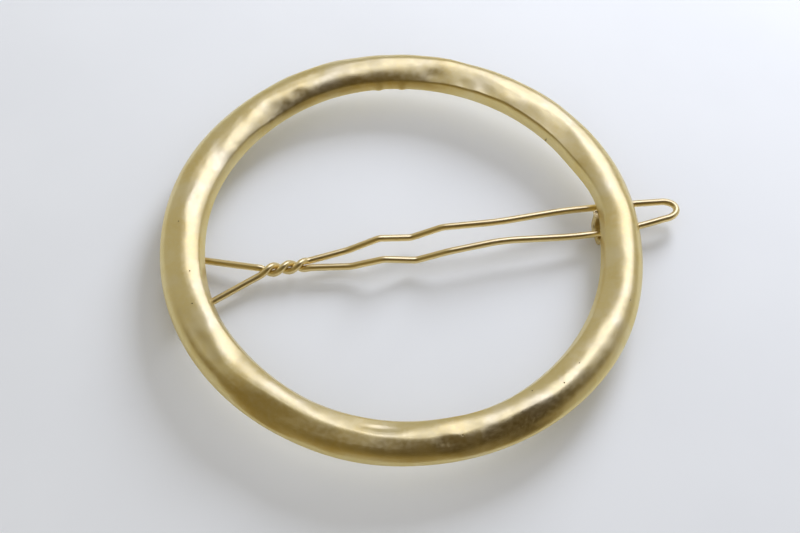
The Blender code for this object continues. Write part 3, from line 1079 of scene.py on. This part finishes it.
            points.append(back * (1 - step / self.back_steps))
        return points

    def surface_point(self, turn_share: float, across_share: float, drop: float) -> Point:
        """Find a point of the crown, or below it on a wall.

        Args:
            turn_share: Place round the ring, as a share of a turn.
            across_share: Place across the band, from -1 to 1.
            drop: How far below the crown the point lies.

        Returns:
            The point, in the frame's own place.
        """
        turns = np.array([turn_share])
        inner, outer = self.edges(turns)
        half_width = float(outer[0] - inner[0]) / 2
        out = float(outer[0] + inner[0]) / 2 + half_width * across_share
        turn = 2 * math.pi * turn_share
        height = float(self.crown(turns, across_share)[0]) - drop
        spot = self.centre + Vector((out * math.cos(turn), out * math.sin(turn), height))
        return tuple(spot)

    def mesh(self) -> Mesh:
        """Build the ring's smooth body.

        Returns:
            The mesh, before its fine hammer marks.
        """
        turns = np.arange(self.turn_steps) / self.turn_steps
        zero = np.zeros_like(turns)
        crest = np.stack([zero, self.crown(turns, 0)], -1)
        outer_half = self.section_half(turns, Edge.OUTER)
        inner_half = self.section_half(turns, Edge.INNER)[::-1]
        section = np.stack([crest, *outer_half, np.stack([zero, zero], -1), *inner_half], 1)
        inner, outer = self.edges(turns)
        out = (inner + outer)[:, None] / 2 + section[..., 0]
        angle = 2 * math.pi * turns[:, None]
        points = np.stack([out * np.cos(angle), out * np.sin(angle), section[..., 1]], -1)
        points = points.reshape(-1, 3) + np.array(self.centre)
        faces = grid_faces(self.turn_steps, section.shape[1])
        mesh = bpy.data.meshes.new("ring_body")
        mesh.from_pydata(points.tolist(), [], faces.tolist())
        mesh.shade_smooth()
        return mesh

    def build(self, finish: SatinGold, hammer: NodeTree) -> None:
        """Build the ring and dress it.

        Args:
            finish: The ring's finish.
            hammer: The tree that presses the hammer marks.
        """
        spots = tuple(
            (self.surface_point(hole.turn_share, hole.across_share, hole.drop), hole.radius)
            for hole in self.pinholes
        )
        ring = linked_object("hammered_ring", self.mesh())
        lowest, full_depth_from = (
            self.centre.z + self.height * share for share in self.mark_height_shares
        )
        with_nodes(
            ring, hammer, mark_size=self.mark_size, mark_depth=self.mark_depth,
            ripple_size=self.ripple_size, ripple_depth=self.ripple_depth, lowest=lowest,
            full_depth_from=full_depth_from, seed=self.seed, material=finish.material(spots),
        )
        hand_over(ring, Body.CLIP, "satin_gold", "ring_frame")


# Wire pin


@dataclass
class WirePin:
    """One spring wire: two hinge ends, a twist, two crimped legs and a loop.

    Attributes:
        hinge: Middle of the hinge's axis.
        wire_radius: Radius of the wire.
        strand_gap: Gap between the strands in the twist.
        drop: Depth of the hinge below the ring's back.
        twist_rise: How far the twist lies above the hinge.
        crimp_height: Height of a crimp.
        latch_depth: Depth of the legs below the ring's back at the catch.
        tip_rise: How far the loop rises past the catch.
        root_half_spread: Half the distance between the two roots.
        root_bend_radius: Setback of the bend at each root.
        journal_end_gap: Gap between the wire's ends in the lug.
        twist_start: Where the twist starts.
        twist_end: Where it ends.
        twist_half_turns: Half turns in the twist.
        twist_ease: How softly the strands enter the twist.
        spread_ease: How softly their spread closes there.
        twist_ease_share: How softly the twist winds up.
        crimp_start: Where the crimps start.
        crimp_pitch: Length of one crimp.
        crimp_count: How many crimps a leg has.
        waist: Where the legs draw together.
        arch_top: Where they are widest, two thirds of the way from waist to latch.
        latch: Where the catch holds them.
        neck: Where the loop starts to narrow.
        shoulder: Where its round end starts.
        tip_length: Length of the round end.
        leg_gap: Gap that the legs' shares refer to.
        kink_setback: Rounding of a crimp.
        bend_setback: Rounding of a leg's gentle bend.
        root_steps: Pieces in the bend at each root.
        kink_steps: Pieces in each rounding of a leg.
        sides: Flat strips round the wire.
    """

    hinge: Vector
    wire_radius: float = 0.0004
    strand_gap: float = 0.00005
    drop: float = 0.00231
    twist_rise: float = 0.00065
    crimp_height: float = 0.00105
    latch_depth: float = 0.00146
    tip_rise: float = 0.00015
    root_half_spread: float = 0.00385
    root_bend_radius: float = 0.0008
    journal_end_gap: float = 0.0011
    twist_start: float = 0.0087
    twist_end: float = 0.0141
    twist_half_turns: int = 3
    twist_ease: float = 0.0008
    spread_ease: float = 0.0004
    twist_ease_share: float = 0.12
    crimp_start: float = 0.019
    crimp_pitch: float = 0.0038
    crimp_count: int = 3
    waist: float = 0.0369
    arch_top: float = 0.0369 + 0.0124 * 2 / 3
    latch: float = 0.0493
    neck: float = 0.0538
    shoulder: float = 0.0568
    tip_length: float = 0.0018
    leg_gap: float = 0.0036
    kink_setback: float = 0.0004
    bend_setback: float = 0.0018
    root_steps: int = 14
    kink_steps: int = 10
    sides: int = 24

    @property
    def strand_radius(self) -> float:
        """Radius of the strands' run about the twist's middle."""
        return self.wire_radius + self.strand_gap / 2

    @property
    def crimp_end(self) -> float:
        """Where the crimps end."""
        return self.crimp_start + self.crimp_pitch * self.crimp_count

    @property
    def twist_depth(self) -> float:
        """Depth of the twist below the ring's back."""
        return self.drop - self.twist_rise

    @property
    def leg_shares(self) -> tuple[tuple[float, float], ...]:
        """Half the legs' gap at places along the pin.

        Returns:
            Each place, and half the gap there as a share of leg_gap.
        """
        # Read off the photograph as pixels, which a program turned into millimetres
        return (
            (self.crimp_start, 0.31),
            (self.crimp_start + self.crimp_pitch, 0.405),
            (self.crimp_end, 0.475),
            (self.waist, 0.365),
            (self.arch_top, 0.52),
            (self.latch, 0.507),
            (self.neck, 0.445),
            (self.shoulder, 0.34),
        )

    def leg_half_gap(self, place: float) -> float:
        """Find half the distance between the legs' middles at a place."""
        places, shares = zip(*self.leg_shares)
        return self.leg_gap * float(np.interp(place, places, shares))

    def leg_depth(self, place: float) -> float:
        """Find how deep the legs lie below the ring's back.

        Args:
            place: Place along the pin.

        Returns:
            The depth.
        """
        top = self.twist_depth - self.crimp_height
        if place <= self.crimp_start:
            return self.twist_depth
        if place <= self.crimp_end:
            crimp = round((place - self.crimp_start) / self.crimp_pitch)
            return top if crimp % 2 else self.twist_depth
        places = (self.waist, self.latch, self.neck, self.shoulder)
        depths = (top, self.latch_depth, self.latch_depth, self.latch_depth - self.tip_rise)
        return float(np.interp(place, places, depths))

    def strand_point(self, side: int, place: float) -> Vector:
        """Find a strand's middle where it nears, makes or leaves the twist.

        Args:
            side: 1 for the far strand, -1 for the near one.
            place: Place along the pin.

        Returns:
            The point, from the hinge.
        """
        root_slope = (self.root_half_spread - self.strand_radius) / self.twist_start
        first_gap = self.leg_gap * self.leg_shares[0][1]
        leg_slope = (first_gap - self.strand_radius) / (self.crimp_start - self.twist_end)
        run = self.twist_end - self.twist_start + self.twist_ease
        share = (place - self.twist_start + self.twist_ease / 2) / run
        angle = -math.pi * self.twist_half_turns * eased(share, self.twist_ease_share)
        if side < 0:
            angle += math.pi
        spread = self.strand_radius
        spread += root_slope * hyperbola(self.twist_start - place, self.spread_ease)
        spread += leg_slope * hyperbola(place - self.twist_end, self.spread_ease)
        rise = self.twist_rise * min(place / self.twist_start, 1)
        return Vector((
            place, spread * math.cos(angle), rise + self.strand_radius * math.sin(angle)
        ))

    def root(self, side: int) -> list[Vector]:
        """Trace the end in the lug, the bend out of it and the run to the twist.

        Args:
            side: 1 for the far strand, -1 for the near one.

        Returns:
            The points, from the hinge.
        """
        corners = [
            Vector((0, side * self.journal_end_gap / 2, 0)),
            Vector((0, side * self.root_half_spread, 0)),
            self.strand_point(side, self.twist_start - 2 * self.twist_ease),
        ]
        return filleted(corners, [0, self.root_bend_radius, 0], self.root_steps)

    def twist(self, side: int, steps: int = 90) -> list[Vector]:
        """Trace a strand through the twist.

        Args:
            side: 1 for the far strand, -1 for the near one.
            steps: How many points the run has.

        Returns:
            The points, from the hinge.
        """
        first = self.twist_start - 2 * self.twist_ease
        last = self.twist_end + 2 * self.twist_ease
        return [
            self.strand_point(side, first + (last - first) * step / steps)
            for step in range(1, steps)
        ]

    def leg(self, side: int) -> list[Vector]:
        """Trace a leg from the twist to the shoulder of the loop.

        Args:
            side: 1 for the far leg, -1 for the near one.

        Returns:
            The points, from the hinge.
        """
        places = [self.crimp_start + self.crimp_pitch * n for n in range(self.crimp_count + 1)]
        setbacks = [0] + [self.kink_setback] * len(places)
        places += [self.waist, self.arch_top, self.latch, self.neck, self.shoulder]
        setbacks += [self.bend_setback] * 4 + [0]
        corners = [self.strand_point(-side, self.twist_end + 2 * self.twist_ease)]
        for place in places:
            height = self.drop - self.leg_depth(place)
            corners.append(Vector((place, side * self.leg_half_gap(place), height)))
        return filleted(corners, setbacks, self.kink_steps)

    def loop_end(self, side: int, steps: int = 24) -> list[Vector]:
        """Trace a quarter of the loop's round end.

        Args:
            side: 1 for the far leg, -1 for the near one.
            steps: How many points the run has.

        Returns:
            The points, from the hinge.
        """
        half = self.leg_half_gap(self.shoulder)
        height = self.drop - self.latch_depth + self.tip_rise
        angles = [math.pi / 2 * step / steps for step in range(1, steps + 1)]
        return [
            Vector((
                self.shoulder + self.tip_length * math.sin(angle),
                side * half * math.cos(angle), height,
            ))
            for angle in angles
        ]

    def route(self) -> list[Vector]:
        """Trace the whole wire, from its near end round the loop to its far end.

        Returns:
            The points, in the frame's own place.
        """
        halves = []
        for side in (-1, 1):
            halves.append(
                self.root(side) + self.twist(side) + self.leg(-side) + self.loop_end(-side)
            )
        whole = halves[0] + halves[1][::-1][1:]
        return [self.hinge + point for point in whole]

    def build(self, finish: DrawnWire, sweep: NodeTree) -> None:
        """Sweep the wire along its route and dress it.

        Args:
            finish: The wire's finish.
            sweep: The tree that sweeps a wire.
        """
        pin = path_object("spring_wire_pin", self.route(), closed=False)
        with_nodes(
            pin, sweep, wire_radius=self.wire_radius, sides=self.sides, material=finish.material()
        )
        hand_over(pin, Body.PIN, "wire_gold", "wire_pin")


def eased(share: float, ease_share: float) -> float:
    """A ramp from 0 to 1 at a steady rate with soft ends.

    Args:
        share: How far along the ramp the place lies.
        ease_share: Length of each soft end.

    Returns:
        The ramp's height.
    """
    share = min(max(share, 0), 1)
    steady = 1 / (1 - ease_share)
    if share < ease_share:
        return steady * share * share / (2 * ease_share)
    if share > 1 - ease_share:
        return 1 - steady * (1 - share) ** 2 / (2 * ease_share)
    return steady * (share - ease_share / 2)


def hyperbola(distance: float, softness: float) -> float:
    """Bend softly from 0 far before the start to the distance itself past it."""
    return (distance + math.hypot(distance, softness)) / 2


def filleted(corners: list[Vector], setbacks: list[float], steps: int,
             room: float = 2.1) -> list[Vector]:
    """Round each corner of a run over its setback.

    Args:
        corners: The run's corners.
        setbacks: How far from each corner its rounding starts.
        steps: How many pieces each rounding has.
        room: Each setback's limit is its sides' lengths divided by this.

    Returns:
        The run's points.
    """
    made = [corners[0]]
    for setback, *near in zip(setbacks[1:], corners, corners[1:], corners[2:]):
        made += fillet(*near, setback, room, steps)
    made.append(corners[-1])
    return made


# Hinge and catch


@dataclass
class HingeLug:
    """The bored block under the ring that the wire's two ends turn in.

    Attributes:
        hinge: Middle of the bore.
        drop: Depth of the bore below the ring's back.
        length: Length of the block along the bore.
        bore_radius: Radius of the bore.
        wall: Wall round the bore.
        foot_cut: How much of the barrel is filed flat below.
        flare: How far the root spreads under the ring.
        flare_power: How late it spreads.
        seat_gap: Gap to the ring's back.
        edge_radius: Rounding of the block's ends.
        solder_radius: Radius of the solder bead at the root.
    """

    hinge: Vector
    drop: float = 0.00231
    length: float = 0.0058
    bore_radius: float = 0.00046
    wall: float = 0.00039
    foot_cut: float = 0.0001
    flare: float = 0.0003
    flare_power: float = 2.4
    seat_gap: float = 0.00005
    edge_radius: float = 0.00016
    solder_radius: float = 0.00013

    @property
    def barrel_radius(self) -> float:
        """Outer radius of the barrel."""
        return self.bore_radius + self.wall

    def outline(self, arc_steps: int = 48, flare_steps: int = 8) -> list[tuple[float, float]]:
        """Trace the block's side view about its bore.

        Args:
            arc_steps: Points round the barrel's lower half.
            flare_steps: Points down each flare.

        Returns:
            Distances along and above the bore.
        """
        top = self.drop - self.seat_gap
        foot = -(self.barrel_radius - self.foot_cut)
        points = []
        for step in range(arc_steps + 1):
            angle = math.pi + math.pi * step / arc_steps
            height = max(self.barrel_radius * math.sin(angle), foot)
            points.append((self.barrel_radius * math.cos(angle), height))
        flare_side = []
        for step in range(flare_steps + 1):
            share = step / flare_steps
            spread = self.barrel_radius + self.flare * share ** self.flare_power
            flare_side.append((spread, top - 2 * self.flare * (1 - share)))
        points += flare_side
        points += [(flare_side[-1][0] * share, top) for share in (0.5, 0, -0.5)]
        points += [(-x, z) for x, z in reversed(flare_side)]
        return points

    def build(self, finish: SatinGold, sweep: NodeTree) -> None:
        """Build the block and its solder bead and dress them.

        Args:
            finish: The block's finish.
            sweep: The tree that sweeps a bead.
        """
        gold = finish.material()
        bm = bmesh.new()
        outline = self.outline()
        angles = [math.atan2(z, x) for x, z in outline]
        half = self.length / 2
        outer_loops = []
        bore_loops = []
        for along, inset in rounded_ends(half, self.edge_radius):
            shrink = 1 - inset / self.barrel_radius
            outer_loops.append([
                bm.verts.new(self.hinge + Vector((x * shrink, along, z * shrink)))
                for x, z in outline
            ])
            mouth = self.bore_radius + inset / 2
            bore_loops.append([
                bm.verts.new(self.hinge + Vector((mouth * math.cos(a), along, mouth * math.sin(a))))
                for a in angles
            ])
        bridge_all(bm, outer_loops)
        bridge_all(bm, bore_loops)
        bridge(bm, outer_loops[0], bore_loops[0])
        bridge(bm, outer_loops[-1], bore_loops[-1])
        lug = mesh_object("bored_lug", bm, gold)
        hand_over(lug, Body.CLIP, "lug_gold", "hinge_lug")
        root_half = self.barrel_radius + self.flare
        top = self.hinge + Vector((0, 0, self.drop - self.seat_gap))
        solder_bead("lug_solder", rounded_rectangle(top, root_half, half, self.flare),
                    self.solder_radius, gold, sweep, "lug_gold")


@dataclass
class CatchHook:
    """The hook whose stem comes down between the legs and whose finger holds one.

    Attributes:
        seat: Where the stem's inner end meets the ring's back.
        leg_half_gap: Half the gap between the legs at the catch.
        latch_depth: Depth of the legs below the ring's back.
        wire_radius: Radius of the wire.
        foot_depth: Depth of the hook's foot below the ring's back.
        width: Length of the hook along the pin.
        stem: Thickness of the stem.
        nose_rise: Height of the finger's lip.
        nose_length: Length of the lip.
        corner: Rounding of the hook's outline.
        corner_room: Its limit is each side's length divided by this.
        corner_steps: Pieces in each rounding.
        edge_radius: Rounding of its two faces.
        gap: Clearance to the wire and to the ring.
        solder_radius: Radius of the solder bead at the root.
        solder_corner: Rounding of the bead's corners.
        inset: How far the hook stands in past the ring's inner edge.
    """

    seat: Vector
    leg_half_gap: float
    latch_depth: float
    wire_radius: float
    foot_depth: float
    width: float = 0.0023
    stem: float = 0.0009
    nose_rise: float = 0.00025
    nose_length: float = 0.00045
    corner: float = 0.0004
    corner_room: float = 2.2
    corner_steps: int = 9
    edge_radius: float = 0.00018
    gap: float = 0.00005
    solder_radius: float = 0.00012
    solder_corner: float = 0.0002
    inset: float = 0.00035

    def outline(self) -> list[Vector]:
        """Trace the hook's end view.

        Returns:
            Distances across the pin and above the ring's back.
        """
        rest = -(self.latch_depth + self.wire_radius + self.gap)
        foot = -self.foot_depth
        inside = -(self.leg_half_gap + self.wire_radius + self.gap)
        nose = inside - self.nose_length
        half = self.stem / 2
        corners = [
            (half, -self.gap), (-half, -self.gap), (-half, rest), (inside, rest),
            (inside - self.nose_length / 3, rest + self.nose_rise), (nose, rest + self.nose_rise),
            (nose, (rest + foot) / 2), (nose + self.corner, foot),
            (half - self.corner, foot), (half, (rest + foot) / 2),
        ]
        corners = [Vector(corner) for corner in corners]
        made = []
        for near in zip(corners[-1:] + corners, corners, corners[1:] + corners[:1]):
            made += fillet(*near, self.corner, self.corner_room, self.corner_steps)
        return made

    def build(self, finish: SatinGold, sweep: NodeTree) -> None:
        """Build the hook and its solder bead and dress them.

        Args:
            finish: The hook's finish.
            sweep: The tree that sweeps a bead.
        """
        gold = finish.material()
        bm = bmesh.new()
        outline = self.outline()
        half = self.width / 2
        middle = self.seat + Vector((half, 0, 0))
        loops = []
        for along, inset in rounded_ends(half, self.edge_radius):
            loops.append([
                bm.verts.new(middle + Vector((along, point.x, point.y)))
                for point in drawn_in(outline, inset)
            ])
        bridge_all(bm, loops)
        ends = [bm.faces.new(loops[0]), bm.faces.new(loops[-1])]
        bmesh.ops.triangulate(bm, faces=ends)
        hook = mesh_object("catch_finger", bm, gold)
        hand_over(hook, Body.CLIP, "catch_gold", "catch_hook")
        top = middle - Vector((0, 0, self.gap))
        solder_bead("catch_solder",
                    rounded_rectangle(top, half, self.stem / 2, self.solder_corner),
                    self.solder_radius, gold, sweep, "catch_gold")


def solder_bead(name: str, points: list[Vector], radius: float, gold: Material,
                sweep: NodeTree, slot: str) -> None:
    """Lay a bead of solder round a root.

    Args:
        name: The bead's name.
        points: The points that it follows.
        radius: Its radius.
        gold: Its finish.
        sweep: The tree that sweeps it.
        slot: The record's material slot, handed on to hand_over.
    """
    bead = path_object(name, points, closed=True)
    with_nodes(bead, sweep, wire_radius=radius, sides=12, material=gold)
    hand_over(bead, Body.CLIP, slot)


def rounded_ends(half: float, radius: float, steps: int = 5) -> list[tuple[float, float]]:
    """Place the loops of a bar whose two ends are rounded over.

    Args:
        half: Half the bar's length.
        radius: Rounding of each end.
        steps: Loops in each rounding.

    Returns:
        For each loop its place along the bar and how far it is drawn in.
    """
    first = []
    for step in range(steps + 1):
        angle = math.pi / 2 * step / steps
        first.append((-half + radius * (1 - math.cos(angle)), radius * (1 - math.sin(angle))))
    return first + [(-along, inset) for along, inset in reversed(first)]


def drawn_in(outline: list[Vector], inset: float) -> list[Vector]:
    """Draw an outline in by the same width all round.

    Args:
        outline: The outline's points.
        inset: The width.

    Returns:
        The smaller outline.
    """
    made = []
    for index, here in enumerate(outline):
        first = (here - outline[index - 1]).normalized()
        second = (outline[(index + 1) % len(outline)] - here).normalized()
        along = (first + second).normalized()
        made.append(here + Vector((-along.y, along.x)) * inset)
    return made


def rounded_rectangle(centre: Vector, half_x: float, half_y: float,
                      corner: float, steps: int = 6) -> list[Vector]:
    """Trace a level rectangle with rounded corners.

    Args:
        centre: Its middle.
        half_x: Half its length along X.
        half_y: Half its length along Y.
        corner: Rounding of its corners.
        steps: Pieces in each rounding.

    Returns:
        The rectangle's points.
    """
    made = []
    for number, (side_x, side_y) in enumerate(((1, 1), (-1, 1), (-1, -1), (1, -1))):
        for step in range(steps + 1):
            angle = math.pi / 2 * (number + step / steps)
            made.append(centre + Vector((
                side_x * (half_x - corner) + corner * math.cos(angle),
                side_y * (half_y - corner) + corner * math.sin(angle), 0,
            )))
    return made


# Studio


def pointing(azimuth_degrees: float, elevation_degrees: float = 0) -> Vector:
    """Find a direction.

    Args:
        azimuth_degrees: Turn from straight back, clockwise as seen from above.
        elevation_degrees: Height above the floor.

    Returns:
        The direction, one unit long.
    """
    azimuth = math.radians(azimuth_degrees)
    elevation = math.radians(elevation_degrees)
    out = math.cos(elevation)
    return Vector((math.sin(azimuth) * out, math.cos(azimuth) * out, math.sin(elevation)))


@dataclass(frozen=True)
class SoftLamp:
    """A round soft lamp.

    Attributes:
        name: The lamp's name.
        azimuth_degrees: Direction, clockwise from straight back as seen from above.
        elevation_degrees: Height above the floor.
        distance: Distance from the clip.
        diameter: Diameter of the lamp's face.
        brightness: Brightness of its face, 1 being plain white.
        colour: Its colour.
        for_floor: Whether it lights the floor, or else only shows in the metal.
    """

    name: str
    azimuth_degrees: float
    elevation_degrees: float
    distance: float
    diameter: float
    brightness: float
    colour: Colour = (1, 1, 1)
    for_floor: bool = False

    def build(self, target: Vector) -> None:
        """Hang the lamp and aim it at the clip.

        Args:
            target: The point that the lamp faces.
        """
        direction = pointing(self.azimuth_degrees, self.elevation_degrees)
        data = bpy.data.lights.new(self.name, "AREA")
        data.shape = "DISK"
        data.size = self.diameter
        data.energy = self.brightness * math.pi ** 2 * self.diameter ** 2 / 4
        data.color = self.colour
        lamp = bpy.data.objects.new(self.name, data)
        lamp.location = target + direction * self.distance
        lamp.rotation_mode = "QUATERNION"
        lamp.rotation_quaternion = direction.to_track_quat("Z", "Y")
        lamp.visible_glossy = not self.for_floor
        lamp.visible_diffuse = self.for_floor
        bpy.context.scene.collection.objects.link(lamp)


@dataclass
class Studio:
    """The floor, the lamps, the dark screen behind the camera and the camera.

    Attributes:
        centre: Middle of the ring's back.
        aim_rise: How far above it the camera and the lamps aim.
        distance: Distance of the camera from there.
        azimuth_degrees: The camera's direction, clockwise from straight back as
            seen from above.
        elevation_degrees: The camera's height above the floor.
        roll_degrees: The camera's tilt about its own axis.
        focal_pixels: Focal length, in pixels of the picture.
        picture: Width and height of the picture, in pixels.
        centre_pixel: Where the target shows in the picture.
        near_clip: Where the camera starts to see.
        far_clip: Where it ends.
        sky_brightness: Brightness of the room's walls in reflections.
        floor_light: Their brightness as they light the floor.
        sky: Their colour.
        floor_radius: Radius of the floor.
        floor_drop: How far it lies below the clip, so that the two don't touch.
        glow_light: The lighter colour of the dark arch's glow, which paints dim shade
            into the metal's reflections.
        glow_dark: Its darker colour.
        weave_size: Width of a cloud of its two colours.
        painted_foot_glow: Painted light: its glow at its foot, standing in for the board's light.
        painted_foot_glow_share: How high that painted light reaches, as a share of its radius.
        painted_side_glow: Painted light: its lighter glow towards its two ends.
        glow_dark_shares: Where its painted shade is darkest along its length, how far
            from there it starts to lighten and where it is fully lighter, as shares of
            its radius.
        arch_radius: Radius of the dark arch over the clip.
        arch_half_share: Half its width, as a share of its radius.
        arch_from_degrees: Where it starts above the floor, on the camera's side.
        arch_sweep_degrees: How far it reaches over the clip.
        arch_rows: Flat strips in the arch.
    """

    centre: Vector
    aim_rise: float = 0.00019
    distance: float = 0.1656
    azimuth_degrees: float = 193.5
    elevation_degrees: float = 57.2
    roll_degrees: float = 3.0
    focal_pixels: float = 1432
    picture: tuple[int, int] = (800, 533)
    centre_pixel: tuple[float, float] = (403.6, 241.8)
    near_clip: float = 0.01
    far_clip: float = 20
    sky_brightness: float = 0.5
    floor_light: float = 0.55
    sky: Colour = (1.01, 0.975, 0.90)
    floor_radius: float = 3
    floor_drop: float = 0.00001
    # The dark arch glows: painted shade for the metal's reflections, with painted light at its foot
    # and towards its ends.
    glow_light: Colour = (0.055, 0.036, 0.013)
    glow_dark: Colour = (0.040, 0.026, 0.008)
    weave_size: float = 0.03
    painted_foot_glow: Colour = (0.34, 0.27, 0.14)
    painted_foot_glow_share: float = 0.95
    painted_side_glow: Colour = (0.22, 0.175, 0.085)
    glow_dark_shares: tuple[float, float, float] = (0.6, 0.1, 1.1)
    arch_radius: float = 0.9
    arch_half_share: float = 1.85
    arch_from_degrees: float = 1
    arch_sweep_degrees: float = 99
    arch_rows: int = 33

    lamps = (
        SoftLamp("key_lamp", 44, 50, 0.6, 0.51, 1.48, (0.875, 0.965, 1.66)),
        SoftLamp("floor_lamp", 36, 24, 0.3, 0.14, 17.5, (0.965, 1, 1.08), True),
    )

    @property
    def target(self) -> Vector:
        """The point that the camera and the lamps face."""
        return self.centre + Vector((0, 0, self.aim_rise))

    def build_camera(self) -> None:
        """Set up the camera at the photograph's view."""
        data = bpy.data.cameras.new("photo_camera")
        width, height = self.picture
        data.sensor_fit = "HORIZONTAL"
        data.lens = data.sensor_width * self.focal_pixels / width
        data.shift_x = (width / 2 - self.centre_pixel[0]) / width
        data.shift_y = (self.centre_pixel[1] - height / 2) / width
        data.clip_start = self.near_clip
        data.clip_end = self.far_clip
        camera = bpy.data.objects.new("photo_camera", data)
        direction = pointing(self.azimuth_degrees, self.elevation_degrees)
        camera.location = self.target + direction * self.distance
        camera.rotation_mode = "QUATERNION"
        roll = Quaternion((0, 0, 1), math.radians(self.roll_degrees))
        camera.rotation_quaternion = direction.to_track_quat("Z", "Y") @ roll
        bpy.context.scene.collection.objects.link(camera)
        bpy.context.scene.camera = camera

    def build_floor(self, finish: PalePaper) -> None:
        """Lay the floor.

        Args:
            finish: The floor's finish.
        """
        bm = bmesh.new()
        bmesh.ops.create_circle(bm, cap_ends=True, segments=96, radius=self.floor_radius)
        bmesh.ops.translate(bm, verts=bm.verts, vec=(0, 0, -self.floor_drop))
        floor = mesh_object("pale_floor", bm, finish.material())

    def build_screen(self) -> None:
        """Hang the dark arch that the camera looks out from, for reflections only."""
        # The arch's glow is painted shade and light, seen only in the metal's reflections.
        material, sheet, shader = shader_sheet("dark_room_glow")
        place = sheet.add("ShaderNodeTexCoord").outputs["Object"]
        weave = sheet.noise(place, self.weave_size)
        colour = sheet.blend(weave, self.glow_light, self.glow_dark)
        sideways = pointing(self.azimuth_degrees - 90)
        along = sheet.add("ShaderNodeVectorMath", {0: place, 1: sideways}, operation="DOT_PRODUCT")
        # Painted shade: the glow is darkest near the middle of its length and lighter towards its
        # ends.
        darkest, near, far = (share * self.arch_radius for share in self.glow_dark_shares)
        past_darkest = sheet.math("SUBTRACT", along.outputs["Value"], darkest)
        lighter = sheet.ramp(sheet.math("ABSOLUTE", past_darkest), near, far)
        colour = sheet.blend(lighter, colour, self.painted_side_glow)
        height = sheet.add("ShaderNodeSeparateXYZ", {0: place}).outputs["Z"]
        # Painted light: the glow is lighter at the arch's foot, standing in for the board's light.
        painted_foot_mask = sheet.ramp(height, 0, self.arch_radius * self.painted_foot_glow_share, 1, 0)
        colour = sheet.blend(painted_foot_mask, colour, self.painted_foot_glow)
        glow = sheet.add("ShaderNodeEmission", {"Color": colour})
        output = material.node_tree.nodes["Material Output"]
        material.node_tree.links.new(glow.outputs[0], output.inputs["Surface"])
        material.node_tree.nodes.remove(shader)
        bm = bmesh.new()
        loops = []
        for row in range(self.arch_rows + 1):
            lift = self.arch_from_degrees + self.arch_sweep_degrees * row / self.arch_rows
            out = pointing(self.azimuth_degrees, lift)
            loops.append([
                bm.verts.new(
                    self.target + (out + sideways * side * self.arch_half_share) * self.arch_radius
                )
                for side in (-1, 1)
            ])
        for here, after in zip(loops, loops[1:]):
            bm.faces.new((here[0], here[1], after[1], after[0]))
        screen = mesh_object("dark_screen", bm, material)
        screen.visible_camera = False
        screen.visible_diffuse = False
        screen.visible_shadow = False

    def build_sky(self) -> None:
        """Light the room evenly."""
        world = bpy.data.worlds.new("pale_room")
        world.use_nodes = True
        sheet = NodeSheet(world.node_tree)
        back = world.node_tree.nodes["Background"]
        back.inputs["Color"].default_value = (*self.sky, 1)
        lit = sheet.add("ShaderNodeLightPath").outputs["Is Diffuse Ray"]
        strength = sheet.ramp(lit, 0, 1, self.sky_brightness, self.floor_light)
        world.node_tree.links.new(strength, back.inputs["Strength"])
        bpy.context.scene.world = world

    def build(self, finish: PalePaper) -> None:
        """Build the whole studio.

        Args:
            finish: The floor's finish.
        """
        self.build_floor(finish)
        self.build_screen()
        self.build_sky()
        for lamp in self.lamps:
            lamp.build(self.target)
        self.build_camera()
        bpy.context.scene.view_settings.view_transform = "Standard"
        log.info("studio: %d lamps, camera %.4f m away", len(self.lamps), self.distance)


def main() -> None:
    """Build the clip's pieces and the studio round them."""
    logging.basicConfig(level=logging.INFO, format="%(name)s: %(message)s")
    sweep = swept_wire_tree()
    hinge = Vector(frame["joints"][0]["pos_m"])
    pin = WirePin(hinge)
    ring = HammeredRing(hinge + Vector((HammeredRing.radius, 0, pin.drop)))
    ring.build(SatinGold("satin_gold_ring"), hammer_tree())
    pin.build(DrawnWire("drawn_gold_wire"), sweep)
    # Painted light: the lug's and hook's gold is lighter than the ring's, to lift the shade that
    # falls on them under the ring.
    plain = SatinGold("lightened_gold_fitting", gold=(0.84, 0.70, 0.36), low_roughness=0.4,
                      high_roughness=0.55, patch_size=0.0018)
    HingeLug(hinge).build(plain, sweep)
    inner, _ = ring.edges(np.array([0.0]))
    seat = ring.centre + Vector((float(inner[0]) - CatchHook.inset, 0, 0))
    CatchHook(
        seat, pin.leg_half_gap(pin.latch), pin.latch_depth, pin.wire_radius, ring.centre.z
    ).build(plain, sweep)
    Studio(ring.centre).build(PalePaper("pale_board"))


if __name__ == "__main__":
    main()
